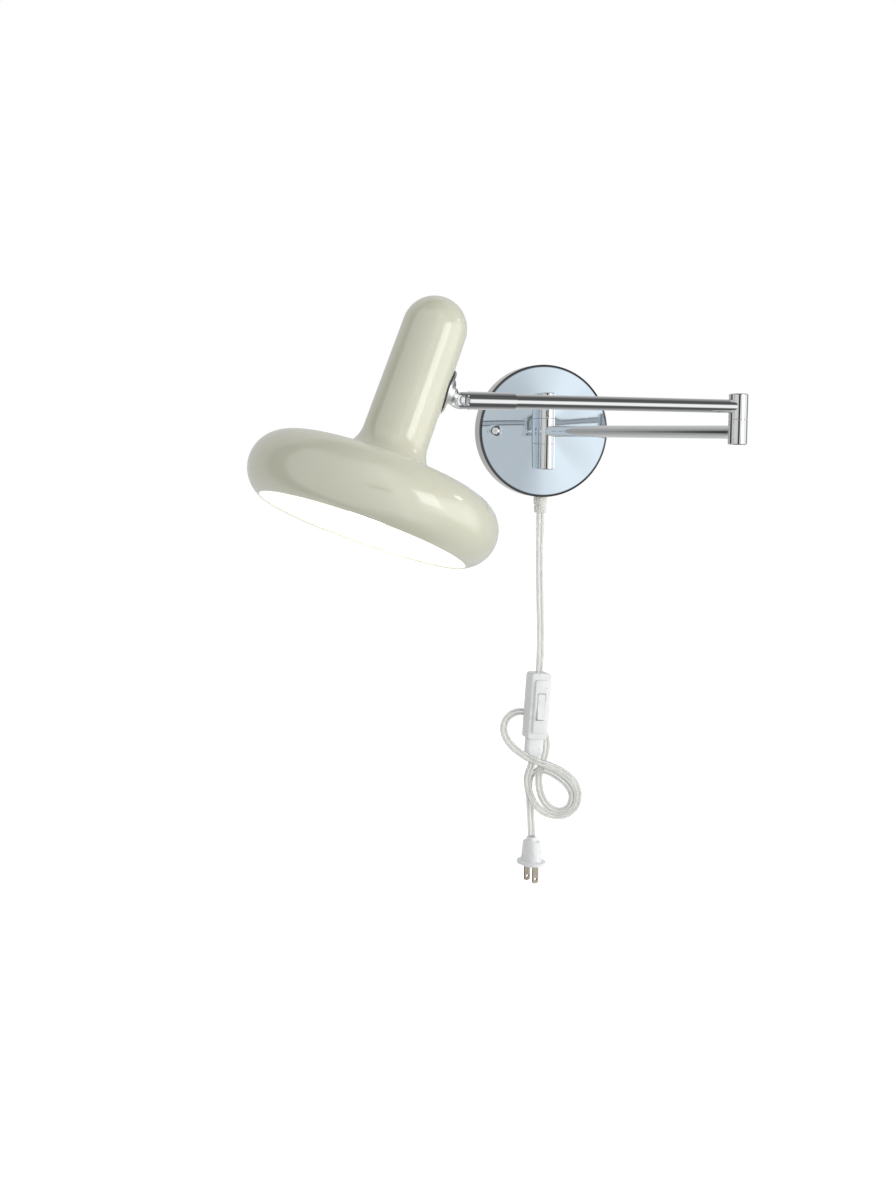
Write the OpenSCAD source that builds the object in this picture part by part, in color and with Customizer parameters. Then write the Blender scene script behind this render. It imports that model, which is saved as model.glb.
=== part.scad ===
// Swing arm wall lamp with a mushroom shade and a plug-in cord.
// The wall is the plane y = 0, up is +Z and the lamp reaches out towards -Y.
// The origin is the middle of the two wall screw holes, on the wall.

/* [Wall plate] */
// Diameter of the round wall plate
plate_d = 120; // [112:1:140]
// Depth of the wall plate, from the wall to its face
plate_depth = 21; // [20:0.5:26]
// Thickness of the wall plate's sheet metal
plate_wall = 1.2; // [0.8:0.1:1.8]
// Outer radius of the wall plate's rounded front edge
plate_edge_r = 2; // [1.9:0.1:4]

/* [Wall bracket] */
// Length of the flat bar that is screwed to the wall
bracket_len = 104; // [100:1:106]
// Width of the flat bar
bracket_w = 20; // [16:1:24]
// Thickness of the flat bar
bracket_t = 2.5; // [2:0.1:3]
// Distance between the two wall screw holes
wall_screw_spacing = 60; // [50:1:70]
// Diameter of the wall screw holes
wall_screw_d = 4.5; // [4:0.1:6]
// Distance between the two studs that hold the wall plate
stud_spacing = 92; // [88:1:94]
// Diameter of the studs
stud_d = 4; // [3:0.1:5]
// Diameter of the ball-shaped cap nuts
cap_nut_d = 10.5; // [9:0.1:11]

/* [Hinge posts] */
// Diameter of the chrome sleeves at the wall and at the elbow
post_d = 14.5; // [13.5:0.1:16]
// Distance from the wall plate's face to the axis of the wall hinge
hub_gap = 9; // [8.6:0.1:12]
// Height of each of the three sleeves of the wall hinge
hub_seg = 22.6; // [20:0.1:26]
// Height of each of the two sleeves of the elbow
elbow_seg = 19; // [17:0.1:24]
// Thickness of the thrust washers between the sleeves
washer_t = 0.3; // [0.2:0.1:0.6]
// Diameter of the hollow hinge pins
pin_d = 7; // [6:0.1:7.5]
// Bore of the hollow hinge pins, for the wires
pin_bore = 4.2; // [3.5:0.1:4.8]

/* [Arms] */
// Outer diameter of the arm tubes
tube_d = 10; // [9:0.1:10.5]
// Wall thickness of the arm tubes
tube_wall = 1; // [0.8:0.1:1.2]
// Distance from the wall hinge's axis to the elbow's axis
arm_reach = 250; // [220:1:300]
// Distance from the elbow's axis to the tilt screw of the head
head_reach = 250; // [220:1:300]
// Diameter of the two-core lead inside the arms
lead_d = 4; // [3:0.1:4]

/* [Swivel and tilt joint] */
// Outer diameter of the swivel sleeve
swivel_d = 12; // [11.9:0.1:13]
// Length of the swivel sleeve, measured back from the tilt screw
swivel_len = 42; // [36:1:50]
// Width of the slot in the swivel sleeve's fork
fork_slot = 4.2; // [3.6:0.1:5]
// Width across the two flats of the fork
fork_w = 10; // [9:0.1:10.5]
// Diameter of the tilt screw
tilt_screw_d = 4; // [3:0.1:4]
// Distance from the tilt screw to the side of the shade's stem
neck_len = 15; // [14:0.1:20]
// Diameter of the round flange that seats the neck on the stem
flange_d = 31; // [26:0.5:34]

/* [Shade] */
// Radius of the opening at the bottom of the shade
opening_r = 70.6; // [66:0.1:75]
// Radius of the circle on which the round rim's section is centred
rim_ring_r = 61.5; // [58:0.1:64]
// Height of the centre of the round rim's section above the opening
rim_ring_z = 21.1; // [18:0.1:23]
// Radius of the stem where it leaves the rim
stem_r = 22.3; // [22:0.1:24]
// Radius of the stem's domed top
dome_r = 21.4; // [21:0.1:22]
// Radius of the hollow between the stem and the rim
throat_r = 22; // [16:0.5:26]
// Height of the whole shade
shade_h = 163.2; // [158:0.1:175]
// Thickness of the shade's sheet metal
shade_wall = 1; // [0.8:0.1:1.2]
// Height of the neck above the shade's opening
neck_height = 107; // [104:0.5:112]

/* [Lamp holder and bulb] */
// Outer diameter of the lamp holder
holder_d = 34; // [31:0.5:36]
// Height of the lamp holder
holder_h = 47; // [44:0.5:48]
// Diameter of the bulb's glass
bulb_d = 45; // [40:1:50]
// Diameter of the bulb's screw cap
bulb_cap_d = 26; // [25:0.1:26.2]

/* [Cord] */
// Width of the flat twin cord
cord_w = 7; // [6:0.1:7.2]
// Thickness of the flat twin cord
cord_t = 3.6; // [3:0.1:3.8]

/* [In-line switch] */
// Width of the switch body
switch_w = 20; // [19:0.5:24]
// Length of the switch body
switch_l = 62; // [58:1:68]
// Thickness of the switch body
switch_t = 16; // [15:0.5:18]
// Wall thickness of the switch's two shells
switch_wall = 1.6; // [1.2:0.1:2]

/* [Plug] */
// Length of the plug's blades
blade_l = 17.5; // [16:0.1:18.5]
// Width of the plug's blades
blade_w = 6.35; // [6:0.05:6.6]
// Thickness of the plug's blades
blade_t = 1.5; // [1.4:0.05:1.6]
// Distance between the plug's two blades
blade_spacing = 12.7; // [12:0.1:13]
// Width of the plug's oval flange
plug_flange_w = 30.5; // [27:0.5:32]
// Depth of the plug's oval flange
plug_flange_d = 23; // [19:0.5:23]

/* [Pose in the photograph] */
// Heading of the lower arm, from the +X direction
lower_yaw = -69.2; // [-90:0.1:-50]
// Turn of the upper arm at the elbow, from the lower arm's heading
elbow_turn = -89.2; // [-100:0.1:-80]
// Lean of the shade's stem back over the upper arm
head_tilt = 22.3; // [10:0.1:35]

/* [Hidden] */

$fn = 96;
// Overshoot of a cut past the face that it opens
eps = 0.5;
// Radial clearance of a part that turns on a pin or tube
turn_fit = 0.05;
// Radial clearance of a part that is fixed on a shaft
seat_fit = 0.02;
// Gap between a thrust washer and the sleeve that turns on it
turn_gap = 0.1;
// Sliver left between soft or curved parts that lie on each other
lay_gap = 0.1;
// Clearance of a screw or stud in a plain hole, across
hole_slack = 0.4;

chrome = [0.78, 0.80, 0.83];
steel = [0.62, 0.62, 0.62];
enamel = [0.80, 0.80, 0.72];
clear_plastic = [0.93, 0.94, 0.95];
brass = [0.80, 0.66, 0.36];
dark_rubber = [0.15, 0.15, 0.15];
porcelain = [0.95, 0.94, 0.92];

// Wall hinge
hub_y = plate_depth + hub_gap;
knuckle_z0 = hub_seg / 2 + washer_t + turn_gap;
knuckle_mid = knuckle_z0 + hub_seg / 2;
end_wall = 3;
post_chamfer = 0.7;
boss_d = 11;
stem_d = 8;
nut_t = 3;
stem_end_y = plate_depth - plate_wall - nut_t - 2.3;
stem_nut_af = 13;
block_w = 22;
block_t = 14;
block_h = 14;
socket_x = post_d / 2 - 2.75;
hub_pin_len = 2 * (knuckle_z0 + hub_seg - end_wall) - 0.4;

// Elbow
upper_rise = elbow_seg + washer_t + turn_gap;
bolt_head_d = 11;
bolt_head_t = 1.9;
cap_t = 1;
counterbore_d = 11.6;
counterbore_h = 3.6;
spring_t = 0.4;
shoulder_z = -elbow_seg / 2 + counterbore_h;
bolt_head_z = shoulder_z - spring_t - 0.1;

// Head joint
fork_r = 5.6;
tongue_r = 5.4;
tongue_t = fork_slot - 0.2;
slot_depth = 6.2;
fork_step = 3.8;
tube_end = 13;
bush_head = 4.4;
bush_plug = 10;
groove_w = 3.2;
groove_r = 4;
grub_d = 2.9;
collar_d = 11.6;
collar_x = 6.5;
collar_len = 1.1;
trumpet_r = 5.2;
flange_t = 1.2;
gasket_t = 0.9;
stud_bore = 4.4;
neck_stud_end = 9;
tilt_nut_af = 7;

// Shade, on its own axis with the opening at z = 0
rim_r = norm([opening_r - rim_ring_r, rim_ring_z]);
rim_top = rim_ring_z + rim_r;
throat_x = stem_r + throat_r;
throat_z = rim_top + throat_r;
dome_z = shade_h - dome_r;
stem_r_at_neck = stem_radius(neck_height);

// Parts inside the stem
strap_t = 1.5;
strap_w = 12;
strap_z = neck_height - 10;
strap_top = neck_height + 7;
strap_x = sqrt(pow(stem_radius(strap_top) - shade_wall, 2) - pow(strap_w / 2, 2)) - 0.02;
holder_nipple_d = 9.8;
holder_nut_t = 3;
holder_top_d = 26;
holder_top_h = 12;
cap_len = 24;
cap_room = 26.5;
cap_seat = holder_h - cap_room;
cap_reach = 26;
cap_top_h = 5;
cap_tip_h = 1;
cap_tip_d = 9;
bulb_drop = 24;
neck_nut_af = 13;
neck_nut_t = 4;

// Cord, switch and plug
gland_d = 12;
gland_flange_h = 7;
gland_neck_h = 1;
gland_end_h = 6.5;
gland_thread_d = 9;
gland_thread_h = 9;
gland_y = plate_depth / 2;
gland_end_z = plate_d / 2 + gland_flange_h + gland_neck_h + gland_end_h;
switch_pos = [-1.5, -14.5, -254];
switch_lean = 3.5;
switch_yaw = 8;
spine_w = 10;
spine_l = 46;
spine_h = 2.5;
rocker_w = 7.4;
rocker_l = 24;
rocker_rest = -6;
rocker_pivot_y = 8.6;
trunnion_d = 2.4;
relief_w = 18;
relief_t = 9;
relief_h = 19;
plug_pos = [-5, -15.4, -405];
plug_yaw = -66.7;
plug_body_h = 26;
plug_flange_h = 3.2;
plug_shoulder_h = 22;
plug_base = [22, 15.4];
plug_shoulder = [18.2, 13];
plug_guard = [11.4, 9];
plug_round = 1.6;

// Route of the cord from the gland to the switch
cord_upper_route = [
    [0, -gland_y, -gland_end_z], [0, -gland_y, -90], [0, -10.6, -112], [0.3, -10.9, -135],
    [0.9, -11.6, -158], [1.4, -12.6, -180], [1.3, -13.7, -200], [0.8, -14.4, -212],
    [0.3, -14.5, -225]
];

// Route of the cord from the switch through its loops to the plug
cord_lower_route = [
    [-4.75, -14.5, -304.8], [-6.4, -13.8, -312.4], [-8.9, -12.5, -322.6], [-7.8, -12, -334.4],
    [-3.4, -12, -345.6], [4.6, -12, -354.8], [15, -12, -359.9], [27.4, -12, -360.5],
    [37.4, -12, -353.6], [40.6, -12.2, -341.6], [36.2, -13.4, -329.2], [25, -16, -318.8],
    [11.8, -19.2, -311.4], [-2.8, -21.8, -305.8], [-17, -20.2, -298.4], [-27.8, -16, -288.5],
    [-32.2, -11.5, -277.5], [-28.5, -7.8, -267], [-18, -4.4, -261.8], [-5.5, -2.9, -264],
    [4, -2.6, -272.5], [9.4, -3, -284], [10.4, -5.4, -296], [7, -9.2, -307.6],
    [2.8, -11.3, -318], [2.4, -11, -330], [6, -8.6, -343], [13.4, -7.5, -353.2],
    [23.6, -7.4, -357.9], [33, -7.4, -353.8], [36, -7.4, -343.4], [31.8, -7.2, -333.8],
    [24, -6.9, -326.4], [14, -6.4, -320], [4, -5.8, -317.8], [-4, -5.5, -322.8],
    [-6, -5.7, -333], [-5, -6.3, -347], [-4.7, -9.4, -362], [-5, -15.2, -378.3]
];

// Helpers

function unit(v) = v / norm(v);

// Outer radius of the shade's stem at a height above the opening
function stem_radius(z) = stem_r + (dome_r - stem_r) * (z - throat_z) / (dome_z - throat_z);

// A point of the smooth curve through the route's points, at t from 0 to 1 past point i
function curve_point(route, i, t) =
    let (
        last = len(route) - 1,
        p0 = route[max(i - 1, 0)],
        p1 = route[i],
        p2 = route[min(i + 1, last)],
        p3 = route[min(i + 2, last)]
    )
    0.5 * (2 * p1 + (p2 - p0) * t + (2 * p0 - 5 * p1 + 4 * p2 - p3) * t * t
        + (3 * p1 - 3 * p2 + p3 - p0) * t * t * t);

function smooth_route(route, steps) = concat(
    [for (i = [0 : len(route) - 2], k = [0 : steps - 1]) curve_point(route, i, k / steps)],
    [route[len(route) - 1]]
);

// Least gap between stretches of a flat cord that lie apart along its route. Its broad side
// faces the room, so stretches pass either in front of each other or side by side.
function least_gap(route, steps) =
    let (line = smooth_route(route, steps), apart = 4 * steps)
    min([
        for (i = [0 : len(line) - 1 - apart], k = [i + apart : len(line) - 1])
            let (d = line[k] - line[i])
            max(abs(d.y) - cord_t, norm([d.x, d.z]) - cord_w)
    ]);

// A flat cord: its broad side faces the room, its section is an eight-sided oval
module flat_cord(route, steps) {
    sides = 8;
    line = smooth_route(route, steps);
    last = len(line) - 1;
    heading = [for (i = [0 : last]) unit(line[min(i + 1, last)] - line[max(i - 1, 0)])];
    across = [for (t = heading) unit(cross(t, [0, 1, 0]))];
    out = [for (i = [0 : last]) cross(across[i], heading[i])];
    verts = [
        for (i = [0 : last], s = [0 : sides - 1])
            let (a = 360 * (s + 0.5) / sides)
            line[i] + across[i] * cord_w / 2 * cos(a) / cos(180 / sides)
                + out[i] * cord_t / 2 * sin(a) / cos(180 / sides)
    ];
    walls = [
        for (i = [0 : last - 1], s = [0 : sides - 1], half = [0, 1])
            let (
                a = i * sides + s,
                b = i * sides + (s + 1) % sides,
                c = a + sides,
                d = b + sides
            )
            half == 0 ? [a, c, b] : [b, c, d]
    ];
    near_end = [for (s = [1 : sides - 2]) [0, s, s + 1]];
    base = last * sides;
    far_end = [for (s = [1 : sides - 2]) [base, base + s + 1, base + s]];
    polyhedron(verts, concat(walls, near_end, far_end));
}

module along_x() rotate([0, 90, 0]) children();

// Turns +Z towards the room, so that heights become distances from the wall
module towards_room() rotate([90, 0, 0]) children();

module hex(af, h) cylinder(d = af / cos(30), h = h, $fn = 6);

module ring(outer_d, inner_d, h) {
    difference() {
        cylinder(d = outer_d, h = h);
        translate([0, 0, -eps]) cylinder(d = inner_d, h = h + 2 * eps);
    }
}

// An upright sleeve with small chamfers on the ends that are asked for
module sleeve(h, lower_chamfer, upper_chamfer) {
    r = post_d / 2;
    c = post_chamfer;
    lo = lower_chamfer ? c : 0;
    hi = upper_chamfer ? c : 0;
    rotate_extrude() polygon([
        [0, 0], [r - lo, 0], [r, lo], [r, h - hi], [r - hi, h], [0, h]
    ]);
}

// A two-dimensional bar with round ends
module stadium(l, w) {
    square([l - w, w], center = true);
    for (side = [-1, 1]) translate([side * (l - w) / 2, 0]) circle(d = w);
}

// Places

module at_hub() translate([0, -hub_y, 0]) children();

module at_lower() at_hub() rotate([0, 0, lower_yaw]) children();

module at_elbow() at_lower() translate([arm_reach, 0, 0]) children();

module at_upper() at_elbow() translate([0, 0, upper_rise]) rotate([0, 0, elbow_turn]) children();

// The tilt screw, with +X along the arm towards the shade
module at_tilt() at_upper() translate([head_reach, 0, 0]) children();

// The same place, leaning with the shade
module at_neck() at_tilt() rotate([0, -head_tilt, 0]) children();

// The middle of the shade's opening, with +Z up the stem and the neck on the -X side
module at_shade() at_neck() translate([neck_len + stem_r_at_neck, 0, -neck_height]) children();

module at_switch() translate(switch_pos) rotate([0, switch_lean, 0]) rotate([0, 0, switch_yaw]) children();

module at_plug() translate(plug_pos) rotate([0, 0, plug_yaw]) children();

// Wall side

module wall_bracket() {
    color(steel) towards_room() difference() {
        linear_extrude(bracket_t) stadium(bracket_len, bracket_w);
        for (side = [-1, 1]) {
            translate([side * wall_screw_spacing / 2, 0, -eps])
                cylinder(d = wall_screw_d, h = bracket_t + 2 * eps);
            translate([side * stud_spacing / 2, 0, -eps])
                cylinder(d = stud_d + 2 * seat_fit, h = bracket_t + 2 * eps);
        }
    }
}

module bracket_studs() {
    color(steel) for (side = [-1, 1])
        translate([side * stud_spacing / 2, 0, 0])
            towards_room() translate([0, 0, 0.2]) cylinder(d = stud_d, h = plate_depth + 5.5);
}

// Half section of the wall plate, drawn in by the given amount
module plate_section(inset) {
    r = plate_d / 2;
    e = plate_edge_r;
    floor_y = inset > 0 ? -eps : 0;
    translate([0, floor_y]) square([r - e, plate_depth - inset - floor_y]);
    translate([0, floor_y]) square([r - inset, plate_depth - e - floor_y]);
    translate([r - e, plate_depth - e]) circle(r = e - inset);
}

module back_plate() {
    color(chrome) difference() {
        towards_room() rotate_extrude($fn = 180) difference() {
            plate_section(0);
            plate_section(plate_wall);
        }
        for (side = [-1, 1]) {
            translate([side * stud_spacing / 2, 0, 0]) towards_room()
                cylinder(d = stud_d + hole_slack, h = plate_depth + eps);
            translate([0, 0, side * knuckle_mid]) towards_room()
                cylinder(d = stem_d + hole_slack, h = plate_depth + eps);
        }
        translate([0, -gland_y, -plate_d / 2 - eps])
            cylinder(d = gland_thread_d + hole_slack, h = plate_d / 4);
    }
}

module cap_nuts() {
    centre = 4.6;
    seat_d = 9.4;
    color(chrome) for (side = [-1, 1])
        translate([side * stud_spacing / 2, -plate_depth, 0]) towards_room() difference() {
            intersection() {
                union() {
                    translate([0, 0, centre]) sphere(d = cap_nut_d);
                    cylinder(d = seat_d, h = 1.2);
                }
                cylinder(d = cap_nut_d + 1, h = centre + cap_nut_d);
            }
            translate([0, 0, -eps]) cylinder(d = stud_d + 2 * seat_fit, h = 6.3 + eps);
        }
}

// A fixed outer sleeve of the wall hinge, drawn upwards from its inner end,
// with the hollow threaded stem that goes through the wall plate
module knuckle() {
    stem_reach = hub_y - stem_end_y;
    difference() {
        union() {
            sleeve(hub_seg, false, true);
            translate([0, 0, hub_seg / 2]) rotate([-90, 0, 0]) {
                cylinder(d = boss_d, h = hub_gap);
                cylinder(d = stem_d, h = stem_reach);
            }
        }
        translate([0, 0, -eps])
            cylinder(d = pin_d + 2 * seat_fit, h = hub_seg - end_wall + eps);
        translate([0, 0, hub_seg / 2]) rotate([-90, 0, 0])
            cylinder(d = stud_bore, h = stem_reach + eps);
    }
}

module upper_knuckle() color(chrome) at_hub() translate([0, 0, knuckle_z0]) knuckle();

module lower_knuckle() color(chrome) at_hub() mirror([0, 0, 1]) translate([0, 0, knuckle_z0]) knuckle();

module knuckle_nuts() {
    color(steel) for (side = [-1, 1])
        translate([0, -plate_depth + plate_wall, side * knuckle_mid]) rotate([-90, 0, 0])
            difference() {
                hex(stem_nut_af, nut_t);
                translate([0, 0, -eps]) cylinder(d = stem_d + 2 * seat_fit, h = nut_t + 2 * eps);
            }
}

module hub_pin() {
    color(steel) at_hub() difference() {
        translate([0, 0, -hub_pin_len / 2]) ring(pin_d, pin_bore, hub_pin_len);
        translate([0, 0, knuckle_mid]) rotate([-90, 0, 0]) cylinder(d = pin_bore, h = pin_d);
        rotate([0, 0, lower_yaw]) along_x() cylinder(d = pin_bore, h = pin_d);
    }
}

module hub_washers() {
    color(clear_plastic) at_hub() for (side = [0, 1])
        mirror([0, 0, side]) translate([0, 0, hub_seg / 2 + turn_gap])
            ring(post_d - 1, pin_d + 2 * seat_fit, washer_t);
}

module terminal_block() {
    hole_depth = 3;
    color(porcelain) difference() {
        translate([-block_w / 2, -bracket_t - block_t, -block_h / 2]) cube([block_w, block_t, block_h]);
        for (side = [-1, 1]) {
            translate([0, -gland_y, side * block_h / 2])
                cylinder(d = lead_d + hole_slack, h = 2 * hole_depth, center = true);
            translate([side * 7, -bracket_t - block_t - eps, 0]) rotate([-90, 0, 0])
                cylinder(d = 3.4, h = 7);
        }
    }
}

module terminal_screws() {
    color(brass) for (side = [-1, 1])
        translate([side * 7, -bracket_t - block_t + 1, 0]) rotate([-90, 0, 0]) difference() {
            cylinder(d = 3.4 - 2 * seat_fit, h = 5);
            translate([-2, -0.3, -eps]) cube([4, 0.6, 0.6 + eps]);
        }
}

module cord_gland() {
    h = gland_end_z - plate_d / 2;
    end_d = gland_d - 0.6;
    color(clear_plastic) translate([0, -gland_y, 0]) difference() {
        translate([0, 0, -gland_end_z]) {
            cylinder(d1 = end_d - 0.8, d2 = end_d, h = gland_end_h);
            cylinder(d = gland_d - 2, h = gland_end_h + gland_neck_h);
            translate([0, 0, gland_end_h + gland_neck_h]) cylinder(d = gland_d, h = gland_flange_h);
            cylinder(d = gland_thread_d, h = h + gland_thread_h);
        }
        translate([0, 0, -gland_end_z + 3]) cylinder(d = lead_d + hole_slack, h = h + gland_thread_h);
    }
}

module gland_nut() {
    color(clear_plastic) translate([0, -gland_y, -plate_d / 2 + plate_wall + 0.45]) difference() {
        hex(12, 3);
        translate([0, 0, -eps]) cylinder(d = gland_thread_d + 2 * seat_fit, h = 3 + 2 * eps);
    }
}

// The cord's two cores from the gland up to the terminal block
module inner_lead() {
    start = gland_end_z - 3.1;
    color(clear_plastic) translate([0, -gland_y, -start])
        cylinder(d = lead_d, h = start - block_h / 2 + 2.8);
}

// The cores from the terminal block into the upper stem of the wall hinge
module hub_lead() {
    bend = stem_end_y - gland_y;
    start = block_h / 2 - 2.8;
    color(clear_plastic) {
        translate([0, -gland_y, start]) cylinder(d = lead_d, h = knuckle_mid - bend - start);
        translate([0, -gland_y - bend, knuckle_mid - bend]) rotate([90, 0, 90])
            rotate_extrude(angle = 90) translate([bend, 0]) circle(d = lead_d);
        translate([0, -gland_y - bend, knuckle_mid]) towards_room()
            cylinder(d = lead_d, h = hub_y - gland_y - bend - pin_d / 2 - 0.3);
    }
}

// Lower arm

// A sleeve's round socket for an arm tube, with the hole for the lead behind it
module tube_socket() {
    translate([socket_x, 0, 0]) along_x() cylinder(d = tube_d + 2 * seat_fit, h = post_d);
    along_x() cylinder(d = lead_d + 1, h = post_d / 2);
}

module hub_sleeve() {
    color(chrome) at_lower() difference() {
        translate([0, 0, -hub_seg / 2]) sleeve(hub_seg, false, false);
        translate([0, 0, -hub_seg / 2 - eps])
            cylinder(d = pin_d + 2 * turn_fit, h = hub_seg + 2 * eps);
        tube_socket();
    }
}

module lower_arm_tube() {
    color(chrome) at_lower() translate([socket_x, 0, 0]) along_x()
        ring(tube_d, tube_d - 2 * tube_wall, arm_reach - 2 * socket_x);
}

// A lead lies on the bottom of its tube
module tube_lead(length) {
    drop = (tube_d - 2 * tube_wall - lead_d) / 2 - lay_gap;
    translate([socket_x + 0.2, 0, -drop]) along_x() cylinder(d = lead_d, h = length);
}

module lower_arm_lead() color(clear_plastic) at_lower() tube_lead(arm_reach - 2 * socket_x - 0.4);

module elbow_lower_sleeve() {
    color(chrome) at_elbow() difference() {
        translate([0, 0, -elbow_seg / 2]) sleeve(elbow_seg, true, false);
        translate([0, 0, -elbow_seg / 2 - eps])
            cylinder(d = pin_d + 2 * turn_fit, h = elbow_seg + 2 * eps);
        translate([0, 0, -elbow_seg / 2 - eps]) cylinder(d = counterbore_d, h = counterbore_h + eps);
        mirror([1, 0, 0]) tube_socket();
    }
}

module elbow_end_cap() {
    color(chrome) at_elbow() translate([0, 0, -elbow_seg / 2])
        cylinder(d = counterbore_d - 2 * seat_fit, h = cap_t);
}

module elbow_washer() {
    color(clear_plastic) at_elbow() translate([0, 0, elbow_seg / 2])
        ring(post_d - 1, pin_d + 2 * turn_fit, washer_t);
}

// Upper arm

module elbow_upper_sleeve() {
    color(chrome) at_upper() difference() {
        translate([0, 0, -elbow_seg / 2]) sleeve(elbow_seg, false, true);
        translate([0, 0, -elbow_seg / 2 - eps])
            cylinder(d = pin_d + 2 * seat_fit, h = elbow_seg - end_wall + eps);
        tube_socket();
    }
}

module elbow_pin() {
    top = upper_rise + elbow_seg / 2 - end_wall - 0.2;
    color(steel) at_elbow() difference() {
        union() {
            translate([0, 0, bolt_head_z - bolt_head_t]) cylinder(d = bolt_head_d, h = bolt_head_t);
            translate([0, 0, bolt_head_z - eps]) cylinder(d = pin_d, h = top - bolt_head_z + eps);
        }
        translate([0, 0, bolt_head_z - bolt_head_t - eps])
            cylinder(d = pin_bore, h = top - bolt_head_z + bolt_head_t + eps - 1);
        mirror([1, 0, 0]) along_x() cylinder(d = pin_bore, h = pin_d);
        translate([0, 0, upper_rise]) rotate([0, 0, elbow_turn]) along_x()
            cylinder(d = pin_bore, h = pin_d);
    }
}

module elbow_spring_washer() {
    color(steel) at_elbow() translate([0, 0, bolt_head_z])
        ring(bolt_head_d - 0.4, pin_d + 2 * seat_fit, spring_t);
}

module upper_arm_tube() {
    color(chrome) at_upper() translate([socket_x, 0, 0]) along_x()
        ring(tube_d, tube_d - 2 * tube_wall, head_reach - tube_end - socket_x);
}

module upper_arm_lead() {
    color(clear_plastic) at_upper() tube_lead(head_reach - tube_end - socket_x - bush_plug - 0.6);
}

module swivel_bush() {
    plug_d = tube_d - 2 * tube_wall - 2 * seat_fit;
    color(brass) at_tilt() translate([-tube_end, 0, 0]) along_x() difference() {
        union() {
            translate([0, 0, -bush_plug]) cylinder(d = plug_d, h = bush_plug + eps);
            cylinder(d = tube_d, h = bush_head);
        }
        translate([0, 0, (bush_head - groove_w) / 2]) difference() {
            cylinder(d = tube_d + 2, h = groove_w);
            translate([0, 0, -eps]) cylinder(r = groove_r, h = groove_w + 2 * eps);
        }
        translate([0, 0, -bush_plug - eps]) cylinder(d = stud_bore, h = bush_plug + bush_head + 2 * eps);
    }
}

// Swivel

module swivel_sleeve() {
    bore_end = -tube_end + bush_head + 0.2;
    cut = 2 * swivel_d;
    color(chrome) at_tilt() difference() {
        union() {
            translate([-swivel_len, 0, 0]) along_x() cylinder(d = swivel_d, h = swivel_len - fork_step);
            intersection() {
                translate([-swivel_len, 0, 0]) along_x() cylinder(d = swivel_d, h = 2 * swivel_len);
                rotate([90, 0, 0]) linear_extrude(fork_w, center = true) {
                    circle(r = fork_r);
                    translate([-slot_depth, -fork_r]) square([slot_depth, 2 * fork_r]);
                }
            }
        }
        translate([-swivel_len - eps, 0, 0]) along_x()
            cylinder(d = tube_d + 2 * turn_fit, h = bore_end + swivel_len + eps);
        translate([-swivel_len, 0, 0]) along_x() cylinder(d = stud_bore, h = swivel_len);
        translate([-slot_depth, -fork_slot / 2, -cut / 2]) cube([cut, fork_slot, cut]);
        rotate([90, 0, 0]) cylinder(d = tilt_screw_d + 2 * seat_fit, h = cut, center = true);
        translate([-tube_end + bush_head / 2, 0, -cut]) cylinder(d = grub_d + 2 * seat_fit, h = cut);
    }
}

module swivel_screw() {
    tip_r = groove_r + 0.2;
    color(steel) at_tilt() translate([-tube_end + bush_head / 2, 0, -swivel_d / 2 + 0.1]) difference() {
        cylinder(d = grub_d, h = swivel_d / 2 - 0.1 - tip_r);
        translate([-2, -0.25, -eps]) cube([4, 0.5, 0.5 + eps]);
    }
}

module tilt_screw() {
    head_d = 7.4;
    head_h = 1.2;
    dome = 14;
    color(steel) at_tilt() rotate([-90, 0, 0]) difference() {
        union() {
            translate([0, 0, -fork_w / 2 - 2.6]) cylinder(d = tilt_screw_d, h = fork_w + 2.6);
            intersection() {
                translate([0, 0, fork_w / 2]) cylinder(d = head_d, h = head_h);
                translate([0, 0, fork_w / 2 + head_h - dome]) sphere(r = dome);
            }
        }
        translate([-0.5, -head_d, fork_w / 2 + head_h - 0.8]) cube([1, 2 * head_d, 2]);
    }
}

module tilt_nut() {
    color(steel) at_tilt() rotate([90, 0, 0]) translate([0, 0, fork_w / 2]) difference() {
        rotate(30) hex(tilt_nut_af, 2.2);
        translate([0, 0, -eps]) cylinder(d = tilt_screw_d + 2 * seat_fit, h = 2.2 + 2 * eps);
    }
}

// Head

// The outside of the stem, grown by the given amount, in the neck's frame
module stem_solid(grow) {
    translate([neck_len + stem_r_at_neck, 0, -neck_height + throat_z])
        cylinder(r1 = stem_r + grow, r2 = dome_r + grow, h = dome_z - throat_z);
}

// The part of the given solid that lies between two layers over the stem
module saddle(inner, outer) {
    difference() {
        intersection() {
            children();
            stem_solid(outer);
        }
        stem_solid(inner);
    }
}

module shade_neck() {
    trumpet_x = collar_x + collar_len;
    trumpet_end = collar_d / 2 + trumpet_r;
    seat = lay_gap + gasket_t;
    stud_start = neck_len - 1;
    color(chrome) at_neck() difference() {
        union() {
            rotate([90, 0, 0]) linear_extrude(tongue_t, center = true) {
                circle(r = tongue_r);
                translate([0, -tongue_r]) square([collar_x + eps, 2 * tongue_r]);
            }
            difference() {
                translate([collar_x, 0, 0]) along_x() rotate_extrude() difference() {
                    square([trumpet_end, neck_len]);
                    translate([trumpet_end, collar_len]) circle(r = trumpet_r);
                    translate([collar_d / 2, -eps]) square([trumpet_r + 1, collar_len + eps]);
                }
                stem_solid(seat);
            }
            saddle(seat, seat + flange_t) along_x() cylinder(d = flange_d, h = neck_len + flange_d / 2);
            translate([stud_start, 0, 0]) along_x()
                cylinder(d = stem_d, h = neck_stud_end + neck_len - stud_start);
        }
        rotate([90, 0, 0]) cylinder(d = tilt_screw_d + 2 * turn_fit, h = 2 * swivel_d, center = true);
        translate([collar_x + collar_len, 0, 0]) along_x() cylinder(d = stud_bore, h = 2 * neck_len);
    }
}

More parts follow.
